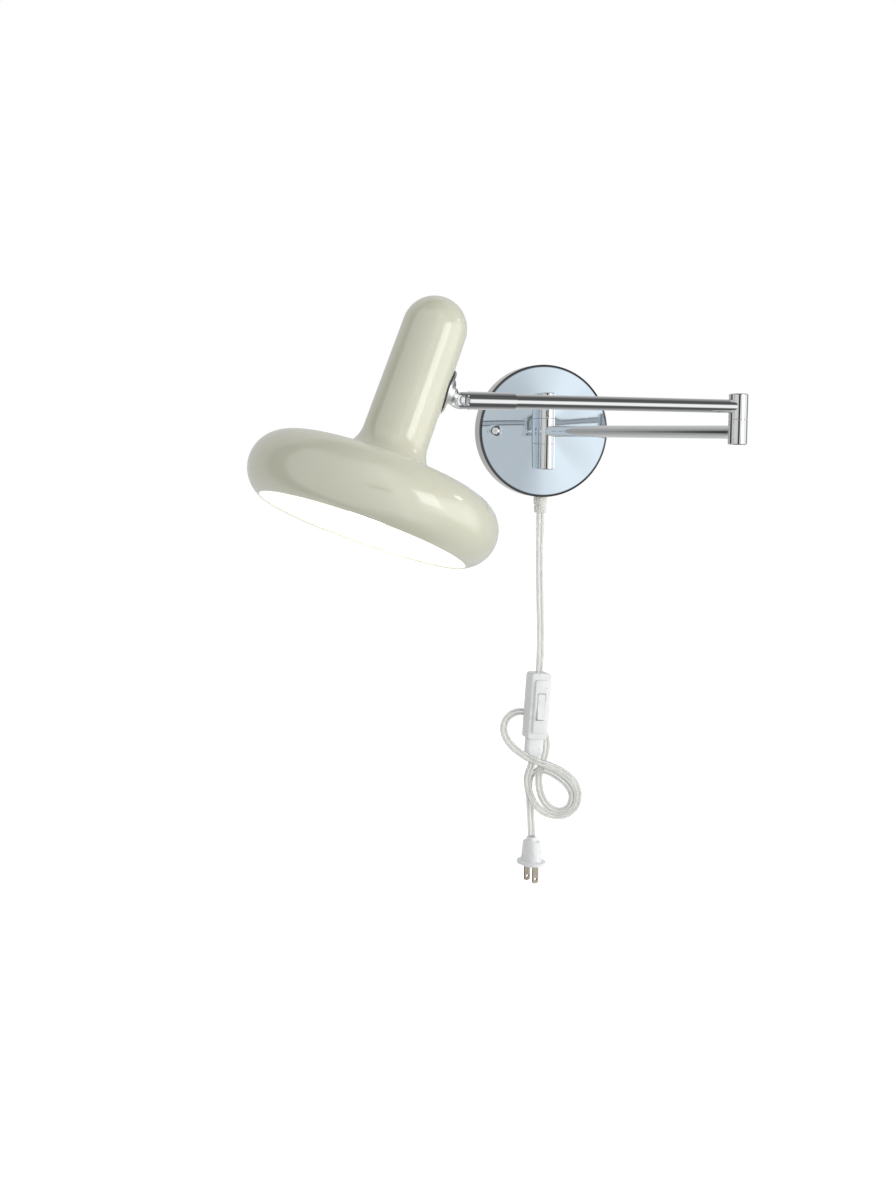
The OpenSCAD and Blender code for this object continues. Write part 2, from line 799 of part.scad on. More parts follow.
module neck_gasket() {
    color(dark_rubber) at_neck() difference() {
        saddle(lay_gap / 2, lay_gap / 2 + gasket_t) along_x()
            cylinder(d = flange_d + 0.8, h = neck_len + flange_d / 2);
        along_x() cylinder(d = stem_d + hole_slack, h = 2 * neck_len);
    }
}

// Half section of the shade, drawn in by the given amount, filled to its axis
module shade_section(inset) {
    bottom = inset > 0 ? -eps : 0;
    stem = stem_r - inset;
    dome = dome_r - inset;
    intersection() {
        union() {
            translate([rim_ring_r, rim_ring_z]) circle(r = rim_r - inset);
            translate([0, bottom]) square([rim_ring_r, rim_top - inset - bottom]);
            difference() {
                translate([0, bottom]) square([throat_x, throat_z - bottom]);
                translate([throat_x, throat_z]) circle(r = throat_r + inset);
            }
            polygon([[0, throat_z - 1], [stem, throat_z - 1], [stem, throat_z], [dome, dome_z], [0, dome_z]]);
            translate([0, dome_z]) intersection() {
                circle(r = dome);
                square(dome + 1);
            }
        }
        translate([0, bottom]) square([2 * opening_r, shade_h + 1]);
    }
}

module shade_shell() {
    lip_run = [opening_r - rim_ring_r, -rim_ring_z] * 1.5;
    color(enamel) at_shade() difference() {
        rotate_extrude($fn = 180) difference() {
            shade_section(0);
            shade_section(shade_wall);
            // The lip is cut square to the sheet
            polygon([
                [0, -eps], [0, rim_ring_z], [rim_ring_r, rim_ring_z],
                [rim_ring_r, rim_ring_z] + lip_run, [0, rim_ring_z + lip_run[1]]
            ]);
        }
        translate([0, 0, neck_height]) mirror([1, 0, 0]) along_x()
            cylinder(d = stem_d + hole_slack, h = 2 * stem_r);
    }
}

module neck_nut() {
    color(steel) at_shade() translate([-strap_x + strap_t, 0, neck_height]) along_x() difference() {
        hex(neck_nut_af, neck_nut_t);
        translate([0, 0, -eps]) cylinder(d = stem_d + 2 * seat_fit, h = neck_nut_t + 2 * eps);
    }
}

// An angled strap: the neck's nut clamps its long leg, the lamp holder hangs from the short one
module holder_bracket() {
    leg_h = strap_top - strap_z;
    reach = strap_x + 10;
    color(steel) at_shade() translate([-strap_x, 0, strap_z]) difference() {
        union() {
            translate([0, -strap_w / 2, 0]) cube([strap_t, strap_w, leg_h]);
            translate([0, -strap_w / 2, 0]) cube([reach, strap_w, strap_t]);
            translate([strap_x, 0, 0]) cylinder(d = strap_w + 6, h = strap_t);
        }
        translate([-eps, 0, neck_height - strap_z]) along_x()
            cylinder(d = stem_d + hole_slack, h = strap_t + 2 * eps);
        translate([strap_x, 0, -eps]) cylinder(d = holder_nipple_d + hole_slack, h = strap_t + 2 * eps);
    }
}

module lamp_holder() {
    nipple_h = strap_t + holder_nut_t + 1.2;
    color(porcelain) at_shade() translate([0, 0, strap_z - holder_h]) difference() {
        union() {
            cylinder(d = holder_d, h = holder_h - holder_top_h);
            translate([0, 0, holder_h - holder_top_h])
                cylinder(d1 = holder_d, d2 = holder_top_d, h = 4);
            cylinder(d = holder_top_d, h = holder_h);
            cylinder(d = holder_nipple_d, h = holder_h + nipple_h);
        }
        translate([0, 0, -eps]) cylinder(d = bulb_cap_d + 1.2, h = holder_h - cap_seat + 1.5);
        cylinder(d = stud_bore + 1, h = holder_h + nipple_h + eps);
    }
}

module holder_nut() {
    color(steel) at_shade() translate([0, 0, strap_z + strap_t]) difference() {
        hex(14, holder_nut_t);
        translate([0, 0, -eps]) cylinder(d = holder_nipple_d + 2 * seat_fit, h = holder_nut_t + 2 * eps);
    }
}

// The cores from the neck's hollow stud down into the lamp holder
module shade_lead() {
    d = lead_d - 0.4;
    bend = 4.5;
    start = stem_r_at_neck - neck_stud_end + 4;
    color(clear_plastic) at_shade() translate([0, 0, neck_height]) {
        translate([-start, 0, 0]) along_x() cylinder(d = d, h = start - bend);
        translate([-bend, 0, -bend]) rotate([90, 0, 0])
            rotate_extrude(angle = 90) translate([bend, 0]) circle(d = d);
        translate([0, 0, -10 - 4]) cylinder(d = d, h = 14 - bend);
    }
}

module bulb_cap() {
    rings = 4;
    pitch = 4.2;
    root_d = bulb_cap_d - 2.2;
    top = strap_z - holder_h + cap_reach;
    color(brass) at_shade() translate([0, 0, top - cap_len]) {
        cylinder(d = root_d, h = cap_len - cap_top_h);
        for (i = [0 : rings - 1]) translate([0, 0, 2.4 + i * pitch]) {
            cylinder(d1 = root_d, d2 = bulb_cap_d, h = pitch / 2);
            translate([0, 0, pitch / 2]) cylinder(d1 = bulb_cap_d, d2 = root_d, h = pitch / 2);
        }
        translate([0, 0, cap_len - cap_top_h])
            cylinder(d1 = root_d, d2 = cap_tip_d + 1, h = cap_top_h - cap_tip_h);
        translate([0, 0, cap_len - cap_tip_h]) cylinder(d = cap_tip_d, h = cap_tip_h);
    }
}

module bulb_glass() {
    neck_r = (bulb_cap_d - 3) / 2;
    top = strap_z - holder_h + cap_reach - cap_len;
    ball_z = top - bulb_drop;
    wall = 1;
    color(porcelain) at_shade() difference() {
        union() {
            translate([0, 0, ball_z]) sphere(d = bulb_d);
            translate([0, 0, ball_z]) cylinder(r = neck_r, h = top - ball_z);
        }
        translate([0, 0, ball_z]) sphere(d = bulb_d - 2 * wall);
        translate([0, 0, ball_z]) cylinder(r = neck_r - wall, h = top - ball_z - wall);
    }
}

// Cord, switch and plug

module cord_upper() color(clear_plastic) flat_cord(cord_upper_route, 1);

module cord_lower() {
    echo(least_cord_gap = least_gap(cord_lower_route, 4));
    color(clear_plastic) flat_cord(cord_lower_route, 2);
}

// A box with rounded upright edges, open on one side of its thickness
module switch_half(depth, wall) {
    r = 3;
    difference() {
        rounded_bar(switch_w, switch_l, depth, r);
        translate([0, 0, -eps]) rounded_bar(switch_w - 2 * wall, switch_l - 2 * wall, depth - wall + eps, r - wall);
    }
}

module rounded_bar(w, l, h, r) {
    linear_extrude(h) {
        square([w - 2 * r, l], center = true);
        square([w, l - 2 * r], center = true);
        for (x = [-1, 1], y = [-1, 1]) translate([x * (w / 2 - r), y * (l / 2 - r)]) circle(r = r);
    }
}

// The cord's passages at the two ends of the switch
module cord_holes() {
    for (end = [-1, 1]) translate([0, 0, end * switch_l / 2])
        cube([cord_w + 0.6, cord_t + 0.6, 4 * switch_wall], center = true);
}

module switch_base() {
    color(clear_plastic) at_switch() difference() {
        rotate([-90, 0, 0]) switch_half(switch_t / 2, switch_wall);
        cord_holes();
        for (end = [-1, 1]) translate([0, 0, end * (switch_l / 2 - 10)])
            rotate([-90, 0, 0]) cylinder(d = 3, h = switch_t);
    }
}

module switch_cover() {
    window_w = rocker_w + 0.6;
    window_l = rocker_l + 1.4;
    color(clear_plastic) at_switch() difference() {
        union() {
            towards_room() translate([0, 0, 0.05]) switch_half(switch_t / 2 - 0.05, switch_wall);
            translate([-spine_w / 2, -switch_t / 2 - spine_h, -spine_l / 2])
                cube([spine_w, spine_h + switch_wall / 2, spine_l]);
        }
        cord_holes();
        translate([-window_w / 2, -switch_t, -window_l / 2])
            cube([window_w, switch_t - switch_wall, window_l]);
        translate([0, -rocker_pivot_y, 0]) along_x()
            cylinder(d = trunnion_d + 2 * turn_fit, h = spine_w + 1, center = true);
    }
}

module switch_screws() {
    color(steel) at_switch() for (end = [-1, 1])
        translate([0, switch_t / 2 - switch_wall - 1, end * (switch_l / 2 - 10)])
            rotate([-90, 0, 0]) difference() {
                cylinder(d = 2.9, h = switch_wall + 0.6);
                translate([-2, -0.3, switch_wall]) cube([4, 0.6, 1]);
            }
}

module switch_contacts() {
    strip_l = 28;
    strip_w = 3;
    strip_t = 0.8;
    tab_h = 4;
    back = switch_t / 2 - switch_wall;
    color(brass) at_switch() for (side = [-1, 1])
        translate([side * 4.5 - strip_w / 2, 0, 0]) {
            translate([0, back - strip_t, -strip_l / 2]) cube([strip_w, strip_t, strip_l]);
            translate([0, back - tab_h, side * 12 - 1]) cube([strip_w, tab_h, 1]);
        }
}

module switch_rocker() {
    end_y = 3;
    color(clear_plastic) at_switch() translate([0, -rocker_pivot_y, 0]) rotate([rocker_rest, 0, 0]) {
        rotate([90, 0, 90]) linear_extrude(rocker_w, center = true) polygon([
            [1.3, -3], [0.2, -rocker_l / 2], [-end_y - 0.6, -rocker_l / 2], [-end_y + 0.6, 0],
            [-end_y - 0.6, rocker_l / 2], [0.2, rocker_l / 2], [1.3, 3]
        ]);
        along_x() cylinder(d = trunnion_d, h = spine_w - 0.4, center = true);
    }
}

// Strain relief that tapers from the switch to the cord
module switch_relief() {
    color(clear_plastic) at_switch() translate([0, 0, -switch_l / 2 - relief_h]) hull() {
        linear_extrude(0.5) stadium(relief_w - 5, relief_t - 3, $fn = 32);
        translate([0, 0, 6]) linear_extrude(relief_h - 6 - 0.1) stadium(relief_w, relief_t, $fn = 32);
    }
}

// A thin slice of the plug's body under a height, its width and depth taken in by an inset
module plug_slice(top, size, inset = 0) {
    slice = 0.4;
    translate([0, 0, top - slice]) linear_extrude(slice)
        stadium(size[0] - inset, size[1] - inset, $fn = 32);
}

module plug_body() {
    color(clear_plastic) at_plug() difference() {
        union() {
            linear_extrude(plug_flange_h) stadium(plug_flange_w, plug_flange_d);
            hull() {
                plug_slice(plug_flange_h, plug_base);
                plug_slice(plug_shoulder_h - plug_round / 2, plug_shoulder);
                plug_slice(plug_shoulder_h, plug_shoulder, plug_round);
            }
            hull() {
                plug_slice(plug_shoulder_h, plug_guard);
                plug_slice(plug_body_h, plug_guard, plug_round);
            }
        }
        for (side = [-1, 1]) translate([side * blade_spacing / 2, 0, 4])
            cube([blade_t + 0.04, blade_w + 0.04, 9], center = true);
    }
}

module plug_blades() {
    seat = 8;
    tip_r = 2;
    hole_z = -blade_l + 4;
    color(steel) at_plug() for (side = [-1, 1])
        translate([side * blade_spacing / 2, 0, 0]) difference() {
            rotate([90, 0, 90]) linear_extrude(blade_t, center = true) {
                translate([-blade_w / 2, -blade_l + tip_r]) square([blade_w, blade_l - tip_r + seat]);
                hull() for (corner = [-1, 1])
                    translate([corner * (blade_w / 2 - tip_r), -blade_l + tip_r]) circle(r = tip_r);
            }
            translate([0, 0, hole_z]) along_x() cylinder(d = 3, h = 4, center = true);
        }
}

wall_bracket();
bracket_studs();
back_plate();
cap_nuts();
upper_knuckle();
lower_knuckle();
knuckle_nuts();
hub_pin();
hub_washers();
terminal_block();
terminal_screws();
cord_gland();
gland_nut();
inner_lead();
hub_lead();
hub_sleeve();
lower_arm_tube();
lower_arm_lead();
elbow_lower_sleeve();
elbow_end_cap();
elbow_washer();
elbow_upper_sleeve();
elbow_pin();
elbow_spring_washer();
upper_arm_tube();
upper_arm_lead();
swivel_bush();
swivel_sleeve();
swivel_screw();
tilt_screw();
tilt_nut();
shade_neck();
neck_gasket();
neck_nut();
shade_shell();
holder_bracket();
lamp_holder();
holder_nut();
shade_lead();
bulb_cap();
bulb_glass();
cord_upper();
switch_base();
switch_cover();
switch_screws();
switch_contacts();
switch_rocker();
switch_relief();
cord_lower();
plug_body();
plug_blades();
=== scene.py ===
import math

import bmesh
import bpy
import numpy as np
from mathutils import Matrix, Vector


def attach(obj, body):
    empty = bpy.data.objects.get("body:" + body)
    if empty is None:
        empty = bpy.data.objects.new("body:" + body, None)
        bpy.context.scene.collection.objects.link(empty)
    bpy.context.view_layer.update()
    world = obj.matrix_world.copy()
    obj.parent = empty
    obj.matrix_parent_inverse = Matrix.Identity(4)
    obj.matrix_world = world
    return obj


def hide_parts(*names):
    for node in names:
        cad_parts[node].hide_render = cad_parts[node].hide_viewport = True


bl_info = {
    "name": "Swing Arm Wall Lamp",
    "version": (1, 0, 0),
    "blender": (4, 5, 0),
    "location": "View3D > Sidebar > Wall Lamp",
    "description": "Dresses a swing arm wall lamp with its spun shade, clear cord, switch, plug and finishes",
    "category": "Object",
}

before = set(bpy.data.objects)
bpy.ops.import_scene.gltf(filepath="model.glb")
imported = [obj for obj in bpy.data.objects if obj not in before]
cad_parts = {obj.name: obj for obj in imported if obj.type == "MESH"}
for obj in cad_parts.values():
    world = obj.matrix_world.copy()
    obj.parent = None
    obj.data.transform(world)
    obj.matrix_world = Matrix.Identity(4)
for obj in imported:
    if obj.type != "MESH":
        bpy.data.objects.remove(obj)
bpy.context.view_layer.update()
MM = 0.001


# Places, the same as in the part's source


def shift(x, y, z):
    """A move in millimetres."""
    return Matrix.Translation((x * MM, y * MM, z * MM))


def turn(axis, degrees):
    """A turn about one axis."""
    return Matrix.Rotation(math.radians(degrees), 4, axis)


PLATE_R, HUB_Y, ARM_LEN, ELBOW_STEP = 60.0, 30.0, 250.0, 19.4
NECK_LEN, NECK_HEIGHT, STEM_R_AT_NECK = 15.0, 107.0, 21.813
AT_LOWER = shift(0, -HUB_Y, 0) @ turn("Z", -69.2)
AT_ELBOW = AT_LOWER @ shift(ARM_LEN, 0, 0)
AT_UPPER = AT_ELBOW @ shift(0, 0, ELBOW_STEP) @ turn("Z", -89.2)
AT_TILT = AT_UPPER @ shift(ARM_LEN, 0, 0)
AT_NECK = AT_TILT @ turn("Y", -22.3)
AT_SHADE = AT_NECK @ shift(NECK_LEN + STEM_R_AT_NECK, 0, -NECK_HEIGHT)
AT_SWITCH = shift(-1.5, -14.5, -254) @ turn("Y", 3.5) @ turn("Z", 8)
AT_PLUG = shift(-5, -15.4, -405) @ turn("Z", -66.7)
AT_GLAND = shift(0, -10.5, -74.5)

# The cord's routes, in millimetres: from the strain relief to the switch, and from the switch to the plug
UPPER_ROUTE = [
    (0, -10.5, -74.5), (0, -10.5, -90), (0, -10.6, -112), (0.3, -10.9, -135),
    (0.9, -11.6, -158), (1.4, -12.6, -180), (1.3, -13.7, -200), (0.8, -14.4, -212),
    (0.3, -14.5, -225),
]
LOWER_ROUTE = [
    (-4.75, -14.5, -304.8), (-6.4, -13.8, -312.4), (-8.9, -12.5, -322.6), (-7.8, -12, -334.4),
    (-3.4, -12, -345.6), (4.6, -12, -354.8), (15, -12, -359.9), (27.4, -12, -360.5),
    (37.4, -12, -353.6), (40.6, -12.2, -341.6), (36.2, -13.4, -329.2), (25, -16, -318.8),
    (11.8, -19.2, -311.4), (-2.8, -21.8, -305.8), (-17, -20.2, -298.4), (-27.8, -16, -288.5),
    (-32.2, -11.5, -277.5), (-28.5, -7.8, -267), (-18, -4.4, -261.8), (-5.5, -2.9, -264),
    (4, -2.6, -272.5), (9.4, -3, -284), (10.4, -5.4, -296), (7, -9.2, -307.6),
    (2.8, -11.3, -318), (2.4, -11, -330), (6, -8.6, -343), (13.4, -7.5, -353.2),
    (23.6, -7.4, -357.9), (33, -7.4, -353.8), (36, -7.4, -343.4), (31.8, -7.2, -333.8),
    (24, -6.9, -326.4), (14, -6.4, -320), (4, -5.8, -317.8), (-4, -5.5, -322.8),
    (-6, -5.7, -333), (-5, -6.3, -347), (-4.7, -9.4, -362), (-5, -15.2, -378.3),
]


# Colours and finishes


def srgb(r, g, b):
    """A colour read from 0 to 255 on a screen, as scene-linear."""
    parts = [c / 255 for c in (r, g, b)]
    return tuple(c / 12.92 if c <= 0.04045 else ((c + 0.055) / 1.055) ** 2.4 for c in parts)


def shader_of(mat):
    """A finish's shader."""
    return mat.node_tree.nodes["Principled BSDF"]


def new_finish(name, colour, roughness, **sockets):
    """A material with one Principled shader, whose sockets are set by name, underscores for spaces."""
    mat = bpy.data.materials.new(name)
    mat.use_nodes = True
    shader = shader_of(mat)
    shader.inputs["Base Color"].default_value = (*colour, 1)
    shader.inputs["Roughness"].default_value = roughness
    for socket, value in sockets.items():
        shader.inputs[socket.replace("_", " ")].default_value = value
    mat.diffuse_color = (*colour, 1)
    return mat


def feed(tree, socket, value):
    """Sets a socket to a plain value, or links it to another node's output."""
    if isinstance(value, bpy.types.NodeSocket):
        tree.links.new(value, socket)
    else:
        socket.default_value = value


def maths(tree, operation, *values):
    """One Math node, fed with numbers or outputs."""
    node = tree.nodes.new("ShaderNodeMath")
    node.operation = operation
    for socket, value in zip(node.inputs, values):
        feed(tree, socket, value)
    return node.outputs["Value"]


def mixed(tree, factor, a, b, blend="MIX"):
    """One colour Mix node, fed with numbers, colours or outputs."""
    node = tree.nodes.new("ShaderNodeMix")
    node.data_type, node.blend_type = "RGBA", blend
    for socket, value in ((node.inputs["Factor"], factor), (node.inputs[6], a), (node.inputs[7], b)):
        feed(tree, socket, value)
    return node.outputs[2]


def map_range(tree, value, low, high, to_low=0.0, to_high=1.0):
    """Maps low to high onto another range, held at both ends."""
    spread = tree.nodes.new("ShaderNodeMapRange")
    for name, number in (("From Min", low), ("From Max", high), ("To Min", to_low), ("To Max", to_high)):
        spread.inputs[name].default_value = number
    tree.links.new(value, spread.inputs["Value"])
    return spread.outputs["Result"]


def colour_ramp(tree, value, stops):
    """A ramp through stops of (position, colour)."""
    ramp = tree.nodes.new("ShaderNodeValToRGB")
    elements = ramp.color_ramp.elements
    while len(elements) < len(stops):
        elements.new(0.5)
    for element, (position, colour) in zip(elements, stops):
        element.position, element.color = position, (*colour, 1)
    tree.links.new(value, ramp.inputs["Fac"])
    return ramp.outputs["Color"]


def paint(mat, value, stops):
    """Colours a finish by a ramp over a value."""
    mat.node_tree.links.new(colour_ramp(mat.node_tree, value, stops), shader_of(mat).inputs["Base Color"])


def split_place(tree, space):
    """The x, y and z of a point in a texture space."""
    place = tree.nodes.new("ShaderNodeTexCoord")
    parts = tree.nodes.new("ShaderNodeSeparateXYZ")
    tree.links.new(place.outputs[space], parts.inputs["Vector"])
    return parts.outputs


def noise(mat, scale, detail, stretch):
    """A noise over the object's own coordinates, so that it stays on the piece as it moves."""
    nodes, links = mat.node_tree.nodes, mat.node_tree.links
    place = nodes.new("ShaderNodeTexCoord")
    mapping = nodes.new("ShaderNodeMapping")
    mapping.inputs["Scale"].default_value = stretch
    tex = nodes.new("ShaderNodeTexNoise")
    tex.inputs["Scale"].default_value = scale
    tex.inputs["Detail"].default_value = detail
    links.new(place.outputs["Object"], mapping.inputs["Vector"])
    links.new(mapping.outputs["Vector"], tex.inputs["Vector"])
    return tex.outputs["Fac"]


def mottle(mat, dark, light, scale, stretch=(1, 1, 1)):
    """Lets the colour wander between two close colours."""
    paint(mat, noise(mat, scale, 3.0, stretch), ((0.3, dark), (0.7, light)))


def painted_edge_shade(mat, face, edge):
    """Paints shade on a clear sheath where it is seen edge on: the darkening that thick clear plastic gets
    from what it refracts and mirrors, painted into its colour.
    """
    weight = mat.node_tree.nodes.new("ShaderNodeLayerWeight")
    weight.inputs["Blend"].default_value = 0.5
    paint(mat, weight.outputs["Facing"], ((0.3, face), (0.85, edge)))


def wander_roughness(mat, low, high, scale, stretch=(1, 1, 1)):
    """Lets the roughness wander between two values, as handling and polishing leave it."""
    spread = map_range(mat.node_tree, noise(mat, scale, 4.0, stretch), 0.35, 0.65, low, high)
    mat.node_tree.links.new(spread, shader_of(mat).inputs["Roughness"])


def bumped(tree, height, distance, under=None):
    """A bump of a height, in metres where distance is 1, on top of another normal if there is one."""
    bump = tree.nodes.new("ShaderNodeBump")
    bump.inputs["Strength"].default_value = 1.0
    bump.inputs["Distance"].default_value = distance
    tree.links.new(height, bump.inputs["Height"])
    if under is not None:
        tree.links.new(under, bump.inputs["Normal"])
    return bump.outputs["Normal"]


def ripple(mat, *layers, stretch=(1, 1, 1), under=None):
    """Fine relief from one or more layers of (noise scale, height in mm), one bump after another."""
    for scale, height in layers:
        under = bumped(mat.node_tree, noise(mat, scale, 2.0, stretch), height * MM, under)
    shader = shader_of(mat)
    mat.node_tree.links.new(under, shader.inputs["Normal"])
    if shader.inputs["Coat Weight"].default_value > 0:
        mat.node_tree.links.new(under, shader.inputs["Coat Normal"])


_finishes = {}


def finish(name):
    """The lamp's finishes by name, each made when it is first asked for."""
    if name not in _finishes:
        _finishes[name] = FINISHES[name]()
    return _finishes[name]


# How far the pressed wall plate is dished: its slope towards the middle, and the twist of its left side,
# each with the length in metres over which it sets in
PLATE_DISH, DISH_START = 0.08, 0.004
PLATE_TWIST, TWIST_START = -0.285, 0.012
# Painted reflection: the dark line round the plate and the grey of its side wall, painted into the plate's
# colour where its rolled edge would mirror dark surroundings, as parts of the plate's radius
PAINTED_RIM_REFLECTION = ((0.968, (0.07, 0.075, 0.08)), (0.99, (0.1, 0.105, 0.11)), (0.9985, (0.5, 0.5, 0.48)))


def chrome_finish():
    tint = bpy.context.scene.lamp_metal.chrome_tint
    mat = new_finish("chrome", tint, 0.04, Metallic=1.0)
    wander_roughness(mat, 0.025, 0.06, 60)
    ripple(mat, (40, 0.004), (900, 0.0001))
    return mat


# Painted highlight: a near-white copy of the chrome for the neck, whose bright reflection is painted into its
# colour; it is also rougher than the arms' chrome
def painted_bright_neck_finish():
    mat = new_finish("neck_chrome", srgb(250, 251, 252), 0.34, Metallic=1.0)
    wander_roughness(mat, 0.3, 0.38, 90)
    ripple(mat, (60, 0.004), (900, 0.0001))
    return mat


def plate_chrome_finish():
    # The plate's tint: the chrome's own colour, with a blue cast that is painted reflection
    tint = bpy.context.scene.lamp_metal.plate_tint_and_painted_reflection
    mat = new_finish("plate_chrome", tint, 0.03, Metallic=1.0)
    wander_roughness(mat, 0.02, 0.05, 30)
    tree = mat.node_tree
    x, _, z = split_place(tree, "Object")
    across = maths(tree, "MULTIPLY", x, x)
    reach = maths(tree, "SQRT", maths(tree, "ADD", across, maths(tree, "MULTIPLY", z, z)))
    dish = maths(tree, "MULTIPLY", across, PLATE_DISH)
    dish = maths(tree, "DIVIDE", dish, maths(tree, "ADD", reach, DISH_START))
    side = maths(tree, "MINIMUM", x, 0.0)
    twist = maths(tree, "MULTIPLY", side, side)
    twist = maths(tree, "DIVIDE", twist, maths(tree, "SUBTRACT", TWIST_START, side))
    twist = maths(tree, "MULTIPLY", maths(tree, "MULTIPLY", twist, z), PLATE_TWIST)
    # The plate's colour, with the painted reflection of its rim near the edge: a dark line and a grey side
    # wall
    paint(mat, maths(tree, "DIVIDE", reach, PLATE_R * MM), ((0, tint), (0.955, tint), *PAINTED_RIM_REFLECTION))
    ripple(mat, (14, 0.02), (700, 0.0001), under=bumped(tree, maths(tree, "ADD", dish, twist), 1.0))
    return mat


def enamel_finish():
    colour = Vector(bpy.context.scene.lamp_shade.enamel_colour)
    mat = new_finish("cream_enamel", colour, 0.32, Coat_Weight=1.0, Coat_Roughness=0.05, Coat_IOR=1.75)
    mottle(mat, tuple(colour * 0.97), tuple(colour * 1.02), 18)
    wander_roughness(mat, 0.28, 0.36, 90)
    ripple(mat, (26, 0.05), (420, 0.004))
    return mat


def inner_enamel_finish():
    colour = Vector(bpy.context.scene.lamp_shade.inner_colour)
    mat = new_finish("inner_white_enamel", colour, 0.4, Coat_Weight=0.5, Coat_Roughness=0.15)
    mottle(mat, tuple(colour * 0.98), tuple(colour), 25)
    ripple(mat, (300, 0.006))
    return mat


def zinc_finish():
    mat = new_finish("zinc_steel", srgb(176, 178, 180), 0.35, Metallic=1.0)
    mottle(mat, srgb(158, 161, 165), srgb(192, 193, 192), 160)
    wander_roughness(mat, 0.28, 0.5, 240)
    ripple(mat, (500, 0.01))
    return mat


def screw_steel_finish():
    mat = new_finish("screw_steel", srgb(170, 170, 172), 0.22, Metallic=1.0)
    mottle(mat, srgb(150, 150, 153), srgb(186, 186, 187), 300)
    wander_roughness(mat, 0.16, 0.32, 500)
    ripple(mat, (900, 0.004))
    return mat


def nickel_finish():
    mat = new_finish("nickel", srgb(172, 164, 150), 0.25, Metallic=1.0)
    mottle(mat, srgb(150, 141, 126), srgb(190, 183, 169), 160, stretch=(1, 1, 0.3))
    wander_roughness(mat, 0.18, 0.36, 500, stretch=(1, 1, 0.15))
    ripple(mat, (900, 0.003), stretch=(1, 1, 0.2))
    return mat


def brass_finish():
    mat = new_finish("brass", srgb(206, 172, 98), 0.28, Metallic=1.0)
    mottle(mat, srgb(186, 148, 78), srgb(222, 190, 118), 220)
    wander_roughness(mat, 0.2, 0.4, 400)
    ripple(mat, (700, 0.006))
    return mat


def clear_cord_finish():
    colour = bpy.context.scene.lamp_cord.sheath_colour
    mat = new_finish("clear_cord", colour, 0.12, IOR=1.35, Transmission_Weight=0.75)
    # Painted shade: the sheath's colour darkens towards its edges as they turn away
    painted_edge_shade(mat, colour, srgb(140, 141, 138))
    wander_roughness(mat, 0.08, 0.16, 120)
    ripple(mat, (90, 0.02))
    return mat


# Painted light: a paler copy of the clear cord's finish for the stretch from the plate to the switch, lighter
# because of how light falls on it there
def painted_lit_cord_finish():
    mat = new_finish("clear_cord_lit", srgb(252, 252, 250), 0.16, IOR=1.3, Transmission_Weight=0.6)
    # Painted shade at the edges, lighter than on the lower stretch
    painted_edge_shade(mat, srgb(252, 252, 250), srgb(205, 205, 203))
    wander_roughness(mat, 0.12, 0.2, 120)
    ripple(mat, (90, 0.02))
    return mat


def cord_cores_finish():
    mat = new_finish("cord_cores", srgb(238, 238, 235), 0.4)
    mottle(mat, srgb(230, 230, 226), srgb(246, 246, 243), 200)
    wander_roughness(mat, 0.35, 0.45, 300)
    ripple(mat, (400, 0.01))
    return mat


def milky_plastic_finish():
    colour = bpy.context.scene.lamp_switch.plastic_colour
    mat = new_finish("milky_plastic", colour, 0.3, IOR=1.35, Transmission_Weight=0.12, Subsurface_Weight=0.25)
    shader_of(mat).inputs["Subsurface Radius"].default_value = (1, 1, 1)
    shader_of(mat).inputs["Subsurface Scale"].default_value = 2 * MM
    mottle(mat, tuple(Vector(colour) * 0.985), tuple(Vector(colour)), 60)
    wander_roughness(mat, 0.26, 0.34, 120)
    ripple(mat, (120, 0.01))
    return mat


def clear_plastic_finish():
    mat = new_finish("clear_plastic", srgb(250, 250, 244), 0.2, IOR=1.35, Transmission_Weight=0.25)
    mottle(mat, srgb(246, 245, 238), srgb(254, 254, 250), 260, stretch=(1, 1, 0.2))
    wander_roughness(mat, 0.14, 0.3, 320)
    ripple(mat, (420, 0.01))
    return mat


def nylon_finish():
    mat = new_finish("nylon", srgb(226, 226, 220), 0.45, Subsurface_Weight=0.2)
    mottle(mat, srgb(216, 216, 208), srgb(232, 232, 226), 200)
    ripple(mat, (600, 0.01))
    return mat


def gasket_finish():
    mat = new_finish("gasket_rubber", srgb(52, 52, 54), 0.6)
    mottle(mat, srgb(42, 42, 44), srgb(64, 64, 66), 260)
    wander_roughness(mat, 0.5, 0.7, 400)
    ripple(mat, (800, 0.03))
    return mat


def porcelain_finish():
    mat = new_finish("porcelain", srgb(236, 234, 228), 0.25, Coat_Weight=0.8, Coat_Roughness=0.08)
    mottle(mat, srgb(228, 226, 218), srgb(242, 240, 236), 120)
    ripple(mat, (180, 0.02))
    return mat


def glass_finish():
    shade = bpy.context.scene.lamp_shade
    mat = new_finish("opal_glass", srgb(250, 248, 242), 0.3, Coat_Weight=0.6)
    shader = shader_of(mat)
    shader.inputs["Emission Color"].default_value = (*shade.bulb_colour, 1)
    shader.inputs["Emission Strength"].default_value = shade.bulb_strength
    mottle(mat, srgb(244, 242, 236), srgb(252, 250, 246), 60)
    ripple(mat, (200, 0.01))
    return mat


# Each finish by name
FINISHES = {
    "chrome": chrome_finish,
    "plate_chrome": plate_chrome_finish,
    "neck_chrome": painted_bright_neck_finish,
    "cream_enamel": enamel_finish,
    "inner_enamel": inner_enamel_finish,
    "zinc_steel": zinc_finish,
    "screw_steel": screw_steel_finish,
    "nickel": nickel_finish,
    "brass": brass_finish,
    "clear_cord": clear_cord_finish,
    "upper_cord": painted_lit_cord_finish,
    "cord_cores": cord_cores_finish,
    "milky_plastic": milky_plastic_finish,
    "clear_plastic": clear_plastic_finish,
    "nylon": nylon_finish,
    "gasket": gasket_finish,
    "porcelain": porcelain_finish,
    "opal_glass": glass_finish,
}

